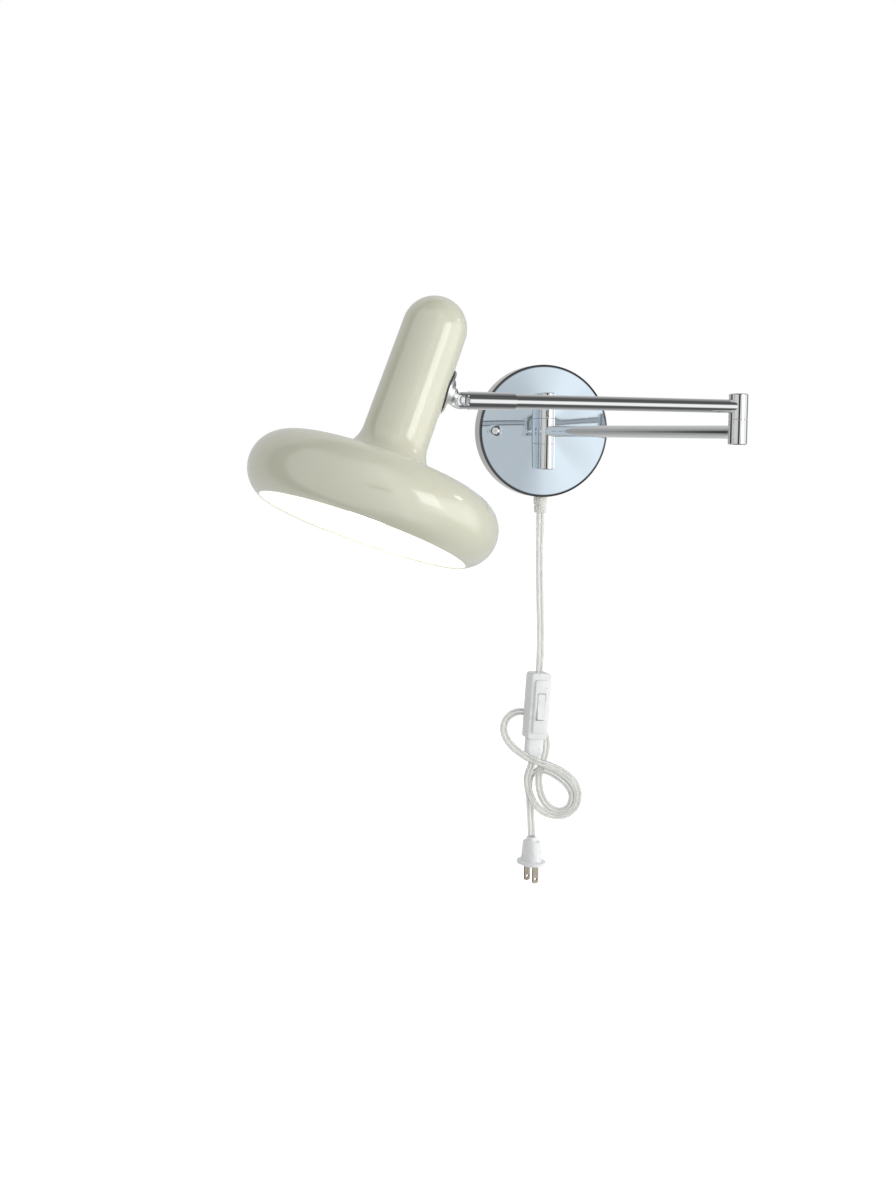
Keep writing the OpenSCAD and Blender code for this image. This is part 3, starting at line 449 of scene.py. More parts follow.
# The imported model's own pieces that stay, by finish
NODE_FINISH = {
    "chrome": [
        "cap_nuts", "upper_knuckle", "lower_knuckle", "hub_sleeve", "lower_arm_tube", "elbow_lower_sleeve",
        "elbow_end_cap", "elbow_upper_sleeve", "upper_arm_tube", "swivel_sleeve",
    ],
    # The neck takes the painted bright copy of the chrome
    "neck_chrome": ["shade_neck"],
    "plate_chrome": ["back_plate"],
    "zinc_steel": [
        "wall_bracket", "bracket_studs", "knuckle_nuts", "holder_bracket", "neck_nut", "holder_nut",
    ],
    "screw_steel": [
        "hub_pin", "elbow_pin", "elbow_spring_washer", "swivel_screw", "tilt_screw", "tilt_nut",
        "switch_screws",
    ],
    "brass": ["terminal_screws", "swivel_bush", "bulb_cap", "switch_contacts"],
    "nickel": ["plug_blades"],
    "nylon": ["hub_washers", "elbow_washer"],
    "clear_plastic": [
        "gland_nut", "inner_lead", "hub_lead", "lower_arm_lead", "upper_arm_lead", "shade_lead",
    ],
    "gasket": ["neck_gasket"],
    "porcelain": ["terminal_block", "lamp_holder"],
}


# Mesh tools


def arc(x, y, radius, start, end, count):
    """Points of an arc in a half section, in millimetres and degrees, both ends included."""
    angles = np.radians(np.linspace(start, end, count + 1))
    return [(x + radius * math.cos(a), y + radius * math.sin(a)) for a in angles]


def added(name, data):
    """A new object in the scene."""
    obj = bpy.data.objects.new(name, data)
    bpy.context.scene.collection.objects.link(obj)
    return obj


def mesh_from(name, bm):
    """The finished mesh of one in the making."""
    mesh = bpy.data.meshes.new(name)
    bm.to_mesh(mesh)
    bm.free()
    return mesh


def settle(obj, sharp):
    """Smooth shading, with sharp edges from an angle in degrees."""
    obj.data.shade_smooth()
    obj.data.set_sharp_from_angle(angle=math.radians(sharp))


def piece_from(bm, name, place, finishes, body, sharp=35.0):
    """Makes an object of the mesh, puts it in place and lets it ride on its body."""
    bmesh.ops.remove_doubles(bm, verts=bm.verts, dist=1e-7)
    bmesh.ops.recalc_face_normals(bm, faces=bm.faces)
    bm.transform(place)
    obj = added(name, mesh_from(name, bm))
    settle(obj, sharp)
    for f in finishes:
        obj.data.materials.append(finish(f))
    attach(obj, body)
    return obj


def turned(section, steps, bands=None, ribs=None):
    """Turns a half section of (radius, height) in mm about +Z.

    bands gives each stretch's finish, and ribs(index, angle) scales a point's radius.
    """
    bm = bmesh.new()
    rings = []
    for k, (r, z) in enumerate(section):
        if r < 1e-6:
            rings.append([bm.verts.new((0, 0, z * MM))])
            continue
        ring = []
        for i in range(steps):
            a = 2 * math.pi * i / steps
            rr = r * (ribs(k, a) if ribs else 1) * MM
            ring.append(bm.verts.new((rr * math.cos(a), rr * math.sin(a), z * MM)))
        rings.append(ring)
    for k, (a, b) in enumerate(zip(rings, rings[1:])):
        for i in range(steps):
            j = (i + 1) % steps
            if len(a) == 1 and len(b) == 1:
                continue
            if len(a) == 1:
                f = bm.faces.new((a[0], b[i], b[j]))
            elif len(b) == 1:
                f = bm.faces.new((a[i], a[j], b[0]))
            else:
                f = bm.faces.new((a[i], a[j], b[j], b[i]))
            if bands:
                f.material_index = bands[k]
    return bm


def loft(rings, bm=None):
    """Skins equal rings of points in mm and closes the two ends, in a new mesh unless one is given."""
    if bm is None:
        bm = bmesh.new()
    made = [[bm.verts.new(Vector(p) * MM) for p in ring] for ring in rings]
    n = len(made[0])
    for a, b in zip(made, made[1:]):
        for i in range(n):
            j = (i + 1) % n
            bm.faces.new((a[i], a[j], b[j], b[i]))
    bm.faces.new(made[0])
    bm.faces.new(made[-1])
    return bm


def rounded_outline(width, length, radius, count=8):
    """Counter-clockwise points of a rectangle with round corners, centred."""
    radius = max(radius, 0.02)
    pts = []
    for cx, cy, start in ((1, 1, 0), (-1, 1, 90), (-1, -1, 180), (1, -1, 270)):
        pts += arc(cx * (width / 2 - radius), cy * (length / 2 - radius), radius, start, start + 90, count)
    return pts


def boolean(obj, tool_bm, operation="DIFFERENCE"):
    """Cuts a mesh from a piece, or joins it to the piece, and keeps the result."""
    bmesh.ops.recalc_face_normals(tool_bm, faces=tool_bm.faces)
    mesh = mesh_from("tool", tool_bm)
    tool = added("tool", mesh)
    mod = obj.modifiers.new("cut", "BOOLEAN")
    mod.operation = operation
    mod.solver = "EXACT"
    mod.object = tool
    bpy.context.view_layer.update()
    result = bpy.data.meshes.new_from_object(obj.evaluated_get(bpy.context.evaluated_depsgraph_get()))
    obj.modifiers.clear()
    old = obj.data
    obj.data = result
    result.name = old.name
    bpy.data.meshes.remove(old)
    bpy.data.objects.remove(tool)
    bpy.data.meshes.remove(mesh)


def rod_tool(radius, start, end, place):
    """A rod along Z, to cut a round hole with."""
    bm = turned([(0, start), (radius, start), (radius, end), (0, end)], 48)
    bm.transform(place)
    return bm


def box_tool(size, centre, place, radius):
    """A block with round upright edges, standing along Z, to cut a slot with."""
    outline = rounded_outline(size[0], size[1], radius, 4)
    low, high = centre[2] - size[2] / 2, centre[2] + size[2] / 2
    bm = loft([[(x + centre[0], y + centre[1], z) for x, y in outline] for z in (low, high)])
    bm.transform(place)
    return bm


# Shade and bulb


class ShadeSettings(bpy.types.PropertyGroup):
    enamel_colour: bpy.props.FloatVectorProperty(
        name="Enamel", description="Colour of the shade's outside", subtype="COLOR", size=3, min=0, max=1,
        default=srgb(223, 223, 202),
    )
    inner_colour: bpy.props.FloatVectorProperty(
        name="Inside", description="Colour of the shade's inside", subtype="COLOR", size=3, min=0, max=1,
        default=srgb(246, 246, 242),
    )
    bulb_colour: bpy.props.FloatVectorProperty(
        name="Light", description="Colour of the bulb's light", subtype="COLOR", size=3, min=0, max=1,
        default=(1.0, 0.97, 0.9),
    )
    bulb_strength: bpy.props.FloatProperty(
        name="Bulb strength", description="Strength of the bulb's light", default=6.0, min=0, max=40,
    )
    opening_radius: bpy.props.FloatProperty(
        name="Opening radius", description="Radius of the shade's opening", unit="LENGTH", default=0.0706,
    )
    rim_ring_radius: bpy.props.FloatProperty(
        name="Rim ring radius", description="Radius of the circle through the middle of the round rim",
        unit="LENGTH", default=0.0615,
    )
    rim_ring_height: bpy.props.FloatProperty(
        name="Rim ring height", description="Height of the round rim's middle above the opening",
        unit="LENGTH", default=0.0211,
    )
    stem_radius: bpy.props.FloatProperty(
        name="Stem radius", description="Radius of the stem where it leaves the rim",
        unit="LENGTH", default=0.0223,
    )
    dome_radius: bpy.props.FloatProperty(
        name="Dome radius", description="Radius of the stem's domed top", unit="LENGTH", default=0.0214,
    )
    throat_radius: bpy.props.FloatProperty(
        name="Throat radius", description="Radius of the hollow between stem and rim",
        unit="LENGTH", default=0.022,
    )
    height: bpy.props.FloatProperty(
        name="Height", description="Height of the whole shade", unit="LENGTH", default=0.1632,
    )
    sheet: bpy.props.FloatProperty(
        name="Sheet", description="Thickness of the shade's sheet metal", unit="LENGTH", default=0.001,
    )
    bulb_radius: bpy.props.FloatProperty(
        name="Bulb radius", description="Radius of the bulb's globe", unit="LENGTH", default=0.0225,
    )
    steps: bpy.props.IntProperty(
        name="Steps", description="Number of steps round the shade", default=288, min=64, max=512,
    )


def shade_half_section(s, inset):
    """Half section of the shade from its lip to its top, in mm, drawn in by the given amount."""
    ring_r, ring_z = s.rim_ring_radius / MM, s.rim_ring_height / MM
    run = s.opening_radius / MM - ring_r
    rim_r = math.hypot(run, ring_z)
    lip_angle = math.degrees(math.atan2(-ring_z, run))
    stem, dome, throat = s.stem_radius / MM, s.dome_radius / MM, s.throat_radius / MM
    top_z = ring_z + rim_r
    throat_z = top_z + throat
    dome_z = s.height / MM - dome
    section = arc(ring_r, ring_z, rim_r - inset, lip_angle, 90, 60)
    section += [(x, top_z - inset) for x in np.linspace(ring_r, stem + throat, 5)[1:-1]]
    section += arc(stem + throat, throat_z, throat + inset, -90, -180, 26)
    section += [
        (stem + (dome - stem) * t - inset, throat_z + (dome_z - throat_z) * t)
        for t in np.linspace(0, 1, 14)[1:-1]
    ]
    section += arc(0, dome_z, dome - inset, 0, 90, 26)
    section[-1] = (0, section[-1][1])
    return section


class LAMP_OT_shade(bpy.types.Operator):
    """Builds the spun metal shade, cream outside and white inside, with the hole for the neck's stud"""

    bl_idname = "lamp.shade"
    bl_label = "Shade"

    def execute(self, context):
        s = context.scene.lamp_shade
        outer = shade_half_section(s, 0)
        inner = shade_half_section(s, s.sheet / MM)
        lip_out, lip_in = Vector(outer[0]), Vector(inner[0])
        bulge = Vector((0.12, 0.3))
        lip = [tuple(lip_out.lerp(lip_in, t) - bulge * math.sin(math.pi * t)) for t in (0.15, 0.5, 0.85)]
        section = outer[::-1] + lip + inner
        bands = [0] * (len(outer) + 3) + [1] * len(inner)
        shade = piece_from(
            turned(section, s.steps, bands), "shade", AT_SHADE, ["cream_enamel", "inner_enamel"], "head",
            50,
        )
        # The hole for the neck's stud, in the side of the stem
        stud_hole = rod_tool(4.2, -30, -14, AT_SHADE @ shift(0, 0, NECK_HEIGHT) @ turn("Y", 90))
        boolean(shade, stud_hole)
        settle(shade, 50)
        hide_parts("shade_shell")
        return {"FINISHED"}


class LAMP_OT_bulb(bpy.types.Operator):
    """Builds the lit globe bulb, its neck flowing into the screw cap"""

    bl_idname = "lamp.bulb"
    bl_label = "Bulb"

    def execute(self, context):
        r = context.scene.lamp_shade.bulb_radius / MM
        neck_r, neck_top, ball_z = 11.5, 52.0, 28.0
        section = [(0, ball_z - r)] + arc(0, ball_z, r, -90, 38, 40)[1:]
        x, z = section[-1]
        for t in np.linspace(0, 1, 12)[1:]:
            section.append((x + (neck_r - x) * (t * (2 - t)), z + (neck_top - z) * t))
        section += [(neck_r - 0.6, neck_top), (neck_r - 1.4, neck_top - 0.5), (0, neck_top - 0.5)]
        bulb = piece_from(turned(section, 96), "bulb_globe", AT_SHADE, ["opal_glass"], "head")
        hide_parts("bulb_glass")
        return {"FINISHED"}


# Cord


# Spacing in mm of a cord's sections, each core's outer strands, and their turn from section to section
SPACING, STRANDS, STRAND_TWIST = 1.2, 6, 0.28


class CordSettings(bpy.types.PropertyGroup):
    width: bpy.props.FloatProperty(
        name="Width", description="Width of the flat twin cord", unit="LENGTH", default=0.007,
    )
    thickness: bpy.props.FloatProperty(
        name="Thickness", description="Thickness of the flat twin cord", unit="LENGTH", default=0.0036,
    )
    waist: bpy.props.FloatProperty(
        name="Waist", description="Thickness of the web between the two lobes", unit="LENGTH", default=0.0022,
    )
    core_radius: bpy.props.FloatProperty(
        name="Core radius", description="Radius of each stranded wire core", unit="LENGTH", default=0.0007,
    )
    sheath_colour: bpy.props.FloatVectorProperty(
        name="Sheath", description="Tint of the clear sheath", subtype="COLOR", size=3, min=0, max=1,
        default=srgb(248, 249, 246),
    )


def curve_point(route, i, t):
    """A point of the smooth curve through the route's points, as in the part's source."""
    last = len(route) - 1
    near = (max(i - 1, 0), i, min(i + 1, last), min(i + 2, last))
    p0, p1, p2, p3 = (np.array(route[k], float) for k in near)
    square, cube = 2 * p0 - 5 * p1 + 4 * p2 - p3, 3 * p1 - 3 * p2 + p3 - p0
    return 0.5 * (2 * p1 + (p2 - p0) * t + square * t * t + cube * t**3)


def smooth_line(route, spacing):
    """Points about evenly spaced along the smooth curve, in mm."""
    fine = [curve_point(route, i, k / 24) for i in range(len(route) - 1) for k in range(24)]
    fine = np.array([*fine, route[-1]], float)
    run = np.concatenate([[0], np.cumsum(np.linalg.norm(np.diff(fine, axis=0), axis=1))])
    stops = np.linspace(0, run[-1], max(2, int(round(run[-1] / spacing)) + 1))
    return np.stack([np.interp(stops, run, fine[:, k]) for k in range(3)], axis=1), run[-1]


def line_frames(line):
    """The line's across and out directions: across lies in the wall's plane."""
    heading = np.gradient(line, axis=0)
    heading /= np.linalg.norm(heading, axis=1)[:, None]
    across = np.cross(heading, [0, 1, 0])
    across /= np.linalg.norm(across, axis=1)[:, None]
    return across, np.cross(across, heading)


def twin_section(cord):
    """Section of the flat twin cord, two round lobes with a web between, in mm."""
    r = cord.thickness / MM / 2
    offset = cord.width / MM / 2 - r
    half_web = cord.waist / MM / 2
    reach = math.degrees(math.asin(min(1, half_web / r)))
    right = arc(offset, 0, r, -180 + reach, 180 - reach, 16)
    left = [(-x, -y) for x, y in right]
    return [*right, (0, half_web * 0.94), *left, (0, -half_web * 0.94)]


def sweep(bm, line, section_at):
    """Skins a section along the line. section_at(index) gives its points."""
    across, out = line_frames(line)
    return loft([[p + across[k] * x + out[k] * y for x, y in section_at(k)] for k, p in enumerate(line)], bm)


def lay_cord(name, route, node, finish_name):
    """Lays a stretch of cord along its route: the clear sheath, and the two stranded cores in it."""
    cord = bpy.context.scene.lamp_cord
    line, length = smooth_line(route, SPACING)
    section = twin_section(cord)
    sheath = piece_from(
        sweep(None, line, lambda k: section), name, Matrix(), [finish_name], "wall_side", 60
    )
    offset = cord.width / MM / 2 - cord.thickness / MM / 2
    r = cord.core_radius / MM
    angles = np.linspace(0, 2 * math.pi, 3 * STRANDS, endpoint=False)
    cores = bmesh.new()
    for side in (-1, 1):
        def core(k, side=side):
            ridged = [(r * (0.9 + 0.1 * math.cos(STRANDS * a)), a + k * STRAND_TWIST) for a in angles]
            return [(side * offset + d * math.cos(a), d * math.sin(a)) for d, a in ridged]
        sweep(cores, line, core)
    cores = piece_from(cores, name + "_cores", Matrix(), ["cord_cores"], "wall_side", 60)
    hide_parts(node)


class LAMP_OT_cords(bpy.types.Operator):
    """Lays the clear flat twin cord from the wall plate to the switch, and on in its loops to the plug"""

    bl_idname = "lamp.cords"
    bl_label = "Cords"

    def execute(self, context):
        # The upper stretch takes the painted lighter copy of the cord's finish
        lay_cord("upper_cord", UPPER_ROUTE, "cord_upper", "upper_cord")
        lay_cord("lower_cord", LOWER_ROUTE, "cord_lower", "clear_cord")
        return {"FINISHED"}


# Strain relief under the wall plate


# Its upright ribs, and their depth as a part of the radius
RIBS, RIB_DEPTH = 22, 0.028


class LAMP_OT_gland(bpy.types.Operator):
    """Builds the clear two-step strain relief with its fine upright ribs, under the wall plate"""

    bl_idname = "lamp.gland"
    bl_label = "Strain relief"

    def execute(self, context):
        section = [
            (0, 3), (2.2, 3), (2.2, 0.5), (2.6, 0), (4.7, 0), (5.3, 0.5), (5.6, 6.1), (5.3, 6.5), (4.9, 6.6),
            (4.9, 7.4), (5.4, 7.5), (5.9, 7.9), (6.0, 8.4), (6.0, 13.8), (5.7, 14.4), (4.5, 14.5),
            (4.5, 23.5), (2.2, 23.5), (2.2, 3.4), (0, 3.4),
        ]
        ribbed = {5, 6, 12, 13}

        def ribs(k, a):
            return 1 + (RIB_DEPTH * math.cos(RIBS * a) if k in ribbed else 0)

        gland = piece_from(
            turned(section, 8 * RIBS, ribs=ribs), "strain_relief", AT_GLAND, ["clear_plastic"], "wall_side",
            30,
        )
        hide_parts("cord_gland")
        return {"FINISHED"}


# Switch


class SwitchSettings(bpy.types.PropertyGroup):
    width: bpy.props.FloatProperty(
        name="Width", description="Width of the switch body", unit="LENGTH", default=0.020,
    )
    length: bpy.props.FloatProperty(
        name="Length", description="Length of the switch body", unit="LENGTH", default=0.062,
    )
    thickness: bpy.props.FloatProperty(
        name="Thickness", description="Thickness of the switch body", unit="LENGTH", default=0.016,
    )
    edge_radius: bpy.props.FloatProperty(
        name="Edge radius", description="Rounding of the shells' edges", unit="LENGTH", default=0.0014,
    )
    plastic_colour: bpy.props.FloatVectorProperty(
        name="Plastic", description="Tint of the switch and the plug", subtype="COLOR", size=3, min=0, max=1,
        default=srgb(253, 255, 255),
    )


# The raised spine round the rocker, and the rocker's half length, in mm
SPINE_WIDTH, SPINE_LENGTH, ROCKER_HALF = 13, 50, 12
# The switch's tapering tail, from its lower end up, in mm: width, thickness and height of each oval
TAIL = [
    (9.5, 4.6, 0), (12.4, 5.4, 0.15), (13.2, 6.2, 0.9), (14.6, 7.0, 2.6), (16.4, 8.0, 4.6), (17.5, 8.7, 6.4),
    (18, 9, 8.6), (18, 9, 12), (18, 9, 15), (18, 9, 18.5), (17.4, 8.4, 18.9),
]
# The plug, from the flange that the blades leave up to the cord guard, in the same way
PLUG = [
    (29.1, 21.6, 0), (30.1, 22.6, 0.25), (30.5, 23, 0.8), (30.5, 23, 2.3), (30.1, 22.6, 2.9),
    (29.1, 21.6, 3.2), (23.2, 16.6, 3.25), (22.4, 15.8, 3.8), (22, 15.4, 4.8), (20.1, 14.2, 13),
    (18.3, 13.1, 20.8), (18.1, 12.9, 21.5), (17.5, 12.3, 21.9), (16.6, 11.4, 22), (12.2, 9.8, 22.05),
    (11.5, 9.1, 22.5), (11, 8.6, 24.2), (10.4, 8, 25.5), (9.6, 7.2, 26),
]


def ovals(profile, count, base=0.0):
    """A body of round-ended sections, one over the other."""
    return loft([
        [(x, y, z + base) for x, y in rounded_outline(w, t, t / 2 - 0.05, count)] for w, t, z in profile
    ])


def shell_half(s, gap, depth_sign):
    """One half of the switch's housing, with a round outer edge, its open side at the seam."""
    w, l, depth = s.width / MM, s.length / MM, s.thickness / MM / 2
    r, edge, wall = 3.0, s.edge_radius / MM, 1.6
    rings = []

    def ring(inset, height):
        outline = rounded_outline(w - 2 * inset, l - 2 * inset, r - inset, 6)
        rings.append([(x, depth_sign * height, z) for x, z in outline])

    ring(edge + 0.01, depth)
    for a in (70, 50, 30, 10):
        ring(edge * (1 - math.cos(math.radians(a))), depth - edge + edge * math.sin(math.radians(a)))
    ring(0, depth - edge)
    ring(0, gap + 0.25)
    ring(0.2, gap)
    ring(wall, gap)
    ring(wall, depth - wall - 0.6)
    ring(wall + 0.4, depth - wall)
    return loft(rings)


def rocker_body():
    """The rocker, its front hollowed between the two ends, with rounded edges along both sides."""
    half = ROCKER_HALF
    profile = [(1.3, -3), (0.2, -half), (-3.4, -half)]
    for z in np.linspace(-half, half, 25)[1:-1]:
        profile.append((-2.4 - 1.2 * (z / half) ** 2, z))
    profile += [(-3.6, half), (0.2, half), (1.3, 3)]
    bm = bmesh.new()
    sides = []
    for x in (-3.7, 3.7):
        sides.append(bm.faces.new([bm.verts.new(Vector((x, y, z)) * MM) for y, z in profile]))
    for i in range(len(profile)):
        j = (i + 1) % len(profile)
        a, b = sides[0].verts, sides[1].verts
        bm.faces.new((a[i], a[j], b[j], b[i]))
    bmesh.ops.recalc_face_normals(bm, faces=bm.faces)
    rims = list(sides[0].edges) + list(sides[1].edges)
    bmesh.ops.bevel(bm, geom=rims, offset=0.45 * MM, segments=3, affect="EDGES")
    return bm


def plastic_piece(bm, name, place, body="wall_side", sharp=40):
    """A moulded piece of the switch or the plug."""
    return piece_from(bm, name, place, ["milky_plastic"], body, sharp)


class LAMP_OT_switch(bpy.types.Operator):
    """Builds the in-line switch: two shells with rounded edges, the raised spine, the rocker and the tail"""

    bl_idname = "lamp.switch"
    bl_label = "Switch"

    def execute(self, context):
        s = context.scene.lamp_switch
        l, depth = s.length / MM, s.thickness / MM / 2
        back = plastic_piece(shell_half(s, 0.0, 1), "switch_back_shell", AT_SWITCH, sharp=30)
        front = plastic_piece(shell_half(s, 0.05, -1), "switch_front_shell", AT_SWITCH, sharp=30)
        rings = []
        for inset, height in ((0, -0.8), (0, 1.5), (0.3, 2.2), (1.0, 2.5)):
            outline = rounded_outline(SPINE_WIDTH - 2 * inset, SPINE_LENGTH - 2 * inset, 2 - inset, 6)
            rings.append([(x, -depth - height, z) for x, z in outline])
        spine = loft(rings)
        spine.transform(AT_SWITCH)
        boolean(front, spine, "UNION")
        # The rocker's opening, the cord's way through both ends, and the screw holes in the back
        upright = turn("X", 90)
        boolean(front, box_tool((8, 25.4, depth + 6), (0, 0, depth), AT_SWITCH @ upright, 0.8))
        for shell in (front, back):
            for end in (-1, 1):
                boolean(shell, box_tool((7.6, 4.2, 6.4), (0, 0, end * l / 2), AT_SWITCH, 1.0))
        for end in (-1, 1):
            screw_hole = rod_tool(1.5, -12, -4, AT_SWITCH @ shift(0, 0, end * (l / 2 - 10)) @ upright)
            boolean(back, screw_hole)
        settle(front, 30)
        settle(back, 30)
        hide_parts("switch_base")
        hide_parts("switch_cover")

        at_rocker = AT_SWITCH @ shift(0, -8.6, 0) @ turn("X", -6)
        paddle = plastic_piece(rocker_body(), "switch_paddle", at_rocker, "rocker")
        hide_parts("switch_rocker")

        tail = plastic_piece(ovals(TAIL, 10, -l / 2 - 19), "switch_tail", AT_SWITCH)
        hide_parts("switch_relief")
        return {"FINISHED"}


# Plug


class LAMP_OT_plug(bpy.types.Operator):
    """Builds the moulded plug: an oval flange, a body that narrows to flat shoulders and a cord guard"""

    bl_idname = "lamp.plug"
    bl_label = "Plug"

    def execute(self, context):
        plug = plastic_piece(ovals(PLUG, 12), "plug_moulding", AT_PLUG)
        # The slots that the two blades stand in
        for side in (-1, 1):
            boolean(plug, box_tool((1.54, 6.39, 9), (side * 6.35, 0, 4), AT_PLUG, 0.3))
        settle(plug, 40)
        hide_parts("plug_body")
        return {"FINISHED"}


# Metal and inner parts


class MetalSettings(bpy.types.PropertyGroup):
    chrome_tint: bpy.props.FloatVectorProperty(
        name="Chrome", description="Tint of the chrome arms and sleeves",
        subtype="COLOR", size=3, min=0, max=1,
        default=(0.82, 0.83, 0.84),
    )
    # The plate's tint is the chrome's own colour with a painted bluish reflection, bluer than the arms'
    # chrome
    plate_tint_and_painted_reflection: bpy.props.FloatVectorProperty(
        name="Plate chrome", description="Tint of the wall plate's chrome",
        subtype="COLOR", size=3, min=0, max=1,
        default=(0.74, 0.85, 0.94),
    )


class LAMP_OT_metal(bpy.types.Operator):
    """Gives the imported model's own pieces their finishes: chrome, screws, washers, wires and inner parts"""

    bl_idname = "lamp.metal"
    bl_label = "Metal and inner parts"

    def execute(self, context):
        for finish_name, names in NODE_FINISH.items():
            for n in names:
                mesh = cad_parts[n].data
                mesh.materials.clear()
                mesh.materials.append(finish(finish_name))
        return {"FINISHED"}


# Studio


class StudioSettings(bpy.types.PropertyGroup):
    lens: bpy.props.FloatProperty(
        name="Lens", description="Focal length for a 36 mm long side, in millimetres",
        default=44.416, min=10, max=200,
    )
    camera_place: bpy.props.FloatVectorProperty(
        name="Camera", description="Place of the camera", subtype="TRANSLATION", unit="LENGTH", size=3,
        default=(-0.3337, -1.3183, -0.0021),
    )
    azimuth: bpy.props.FloatProperty(
        name="Azimuth", description="Heading of the camera, 0 looking at the wall", subtype="ANGLE",
        default=math.radians(-10.73),
    )
    pitch: bpy.props.FloatProperty(
        name="Pitch", description="How far the camera looks down",
        subtype="ANGLE", default=math.radians(6.22),
    )
    roll: bpy.props.FloatProperty(
        name="Roll", description="Roll of the camera", subtype="ANGLE", default=math.radians(0.43),
    )
    floor_height: bpy.props.FloatProperty(
        name="Floor", description="Height of the floor", unit="LENGTH", default=-1.1,
    )
    ambient: bpy.props.FloatProperty(
        name="Ambient", description="Level of the soft light from all round", default=0.68, min=0, max=3,
    )
    softbox_power: bpy.props.FloatProperty(
        name="Softbox", description="Power of the wide softbox on the right", subtype="POWER", default=24.0,
    )
    fill_power: bpy.props.FloatProperty(
        name="Fill light", description="Power of the broad light on the right, which chrome doesn't mirror",
        subtype="POWER", default=82.0,
    )
    spot_power: bpy.props.FloatProperty(
        name="Small light", description="Power of the small light far on the right",
        subtype="POWER", default=1.4,
    )


# What the chrome mirrors: heading from -Y towards +X in degrees, and screen level
PANELS = [
    (-180, 205), (-150, 195), (-135, 182), (-122, 160), (-118, 66), (-98, 60), (-94, 205), (-50, 222),
    (-17, 215), (5, 222), (7, 255), (9, 255), (14.5, 238), (18, 218), (22, 200), (26, 206), (56, 96),
    (84, 84), (102, 118), (124, 152), (142, 178), (160, 205), (180, 205),
]
# The bright window in it: where it begins and ends, in degrees of heading and of height
WINDOW_HEADING = [(-180, 0), (24, 0), (29, 255), (92, 255), (106, 0), (180, 0)]
WINDOW_HEIGHT = [(-90, 0), (-30, 0), (-19, 255), (8, 255), (20, 0), (90, 0)]
# The dark gap in front, which makes the black lines in the upright sleeves
GAP_HEADING = [(-180, 0), (-21, 0), (-15, 255), (2, 255), (5.5, 0), (180, 0)]
GAP_HEIGHT = [(-90, 0), (-6, 0), (-3, 255), (4, 255), (7, 0), (90, 0)]
# Where mirrors see a darker level far overhead and underfoot, and the soft light's screen level, by height
POLES = [(-90, 255), (-72, 255), (-60, 0), (56, 0), (70, 255), (90, 255)]
SOFT = [(-90, 215), (-10, 235), (40, 250), (90, 250)]
WINDOW_LEVEL, GAP_LEVEL, POLE_LEVEL = 1.05, 0.05, 0.1
# The point that the lights face, and the floor's width in metres and its glow, which only the camera sees
LIGHT_TARGET = (-0.18, -0.40, 0.0)
FLOOR_WIDTH, FLOOR_GLOW = 30.0, 0.62


def direction_ramp(tree, value, reach, stops):
    """A ramp over an angle of up to reach degrees either way, with grey levels as on a screen."""
    limit = math.radians(reach)
    levels = [((angle + reach) / (2 * reach), srgb(level, level, level)) for angle, level in stops]
    return colour_ramp(tree, map_range(tree, value, -limit, limit), levels)


def studio_world(studio):
    """White for the camera, panels and dark gaps for mirrors, a soft even light for the rest."""
    world = bpy.data.worlds.new("studio")
    bpy.context.scene.world = world
    world.use_nodes = True
    tree = world.node_tree
    x, y, z = split_place(tree, "Generated")
    heading = maths(tree, "ARCTAN2", x, maths(tree, "MULTIPLY", y, -1.0))
    height = maths(tree, "ARCSINE", z)

    def around(stops):
        return direction_ramp(tree, heading, 180, stops)

    def upwards(stops):
        return direction_ramp(tree, height, 90, stops)

    mirror = around(PANELS)
    for level, area in (
        (WINDOW_LEVEL, maths(tree, "MULTIPLY", around(WINDOW_HEADING), upwards(WINDOW_HEIGHT))),
        (GAP_LEVEL, maths(tree, "MULTIPLY", around(GAP_HEADING), upwards(GAP_HEIGHT))),
        (POLE_LEVEL, upwards(POLES)),
    ):
        mirror = mixed(tree, area, mirror, (level, level, level, 1.0))
    level = studio.ambient
    soft = mixed(tree, 1.0, upwards(SOFT), (level, level, level * 1.01, 1.0), "MULTIPLY")
    path = tree.nodes.new("ShaderNodeLightPath")
    colour = mixed(tree, path.outputs["Is Glossy Ray"], soft, mirror)
    seen = maths(tree, "MAXIMUM", path.outputs["Is Camera Ray"], path.outputs["Is Transmission Ray"])
    colour = mixed(tree, seen, colour, (1.0, 1.0, 1.0, 1.0))
    background = tree.nodes["Background"]
    tree.links.new(colour, background.inputs["Color"])
    background.inputs["Strength"].default_value = 1.0


def area_light(name, heading, height, reach, width, tall, power):
    """A flat light at a heading and a height in degrees, seen from the lamp's head, facing it."""
    data = bpy.data.lights.new(name, "AREA")
    data.shape = "RECTANGLE"
    data.size, data.size_y = width, tall
    data.energy = power
    light = added(name, data)
    h, v = math.radians(heading), math.radians(height)
    away = Vector((math.sin(h) * math.cos(v), -math.cos(h) * math.cos(v), math.sin(v)))
    light.location = Vector(LIGHT_TARGET) + away * reach
    light.rotation_mode = "QUATERNION"
    light.rotation_quaternion = (-away).to_track_quat("-Z", "Y")
    light.visible_camera = False
    return light


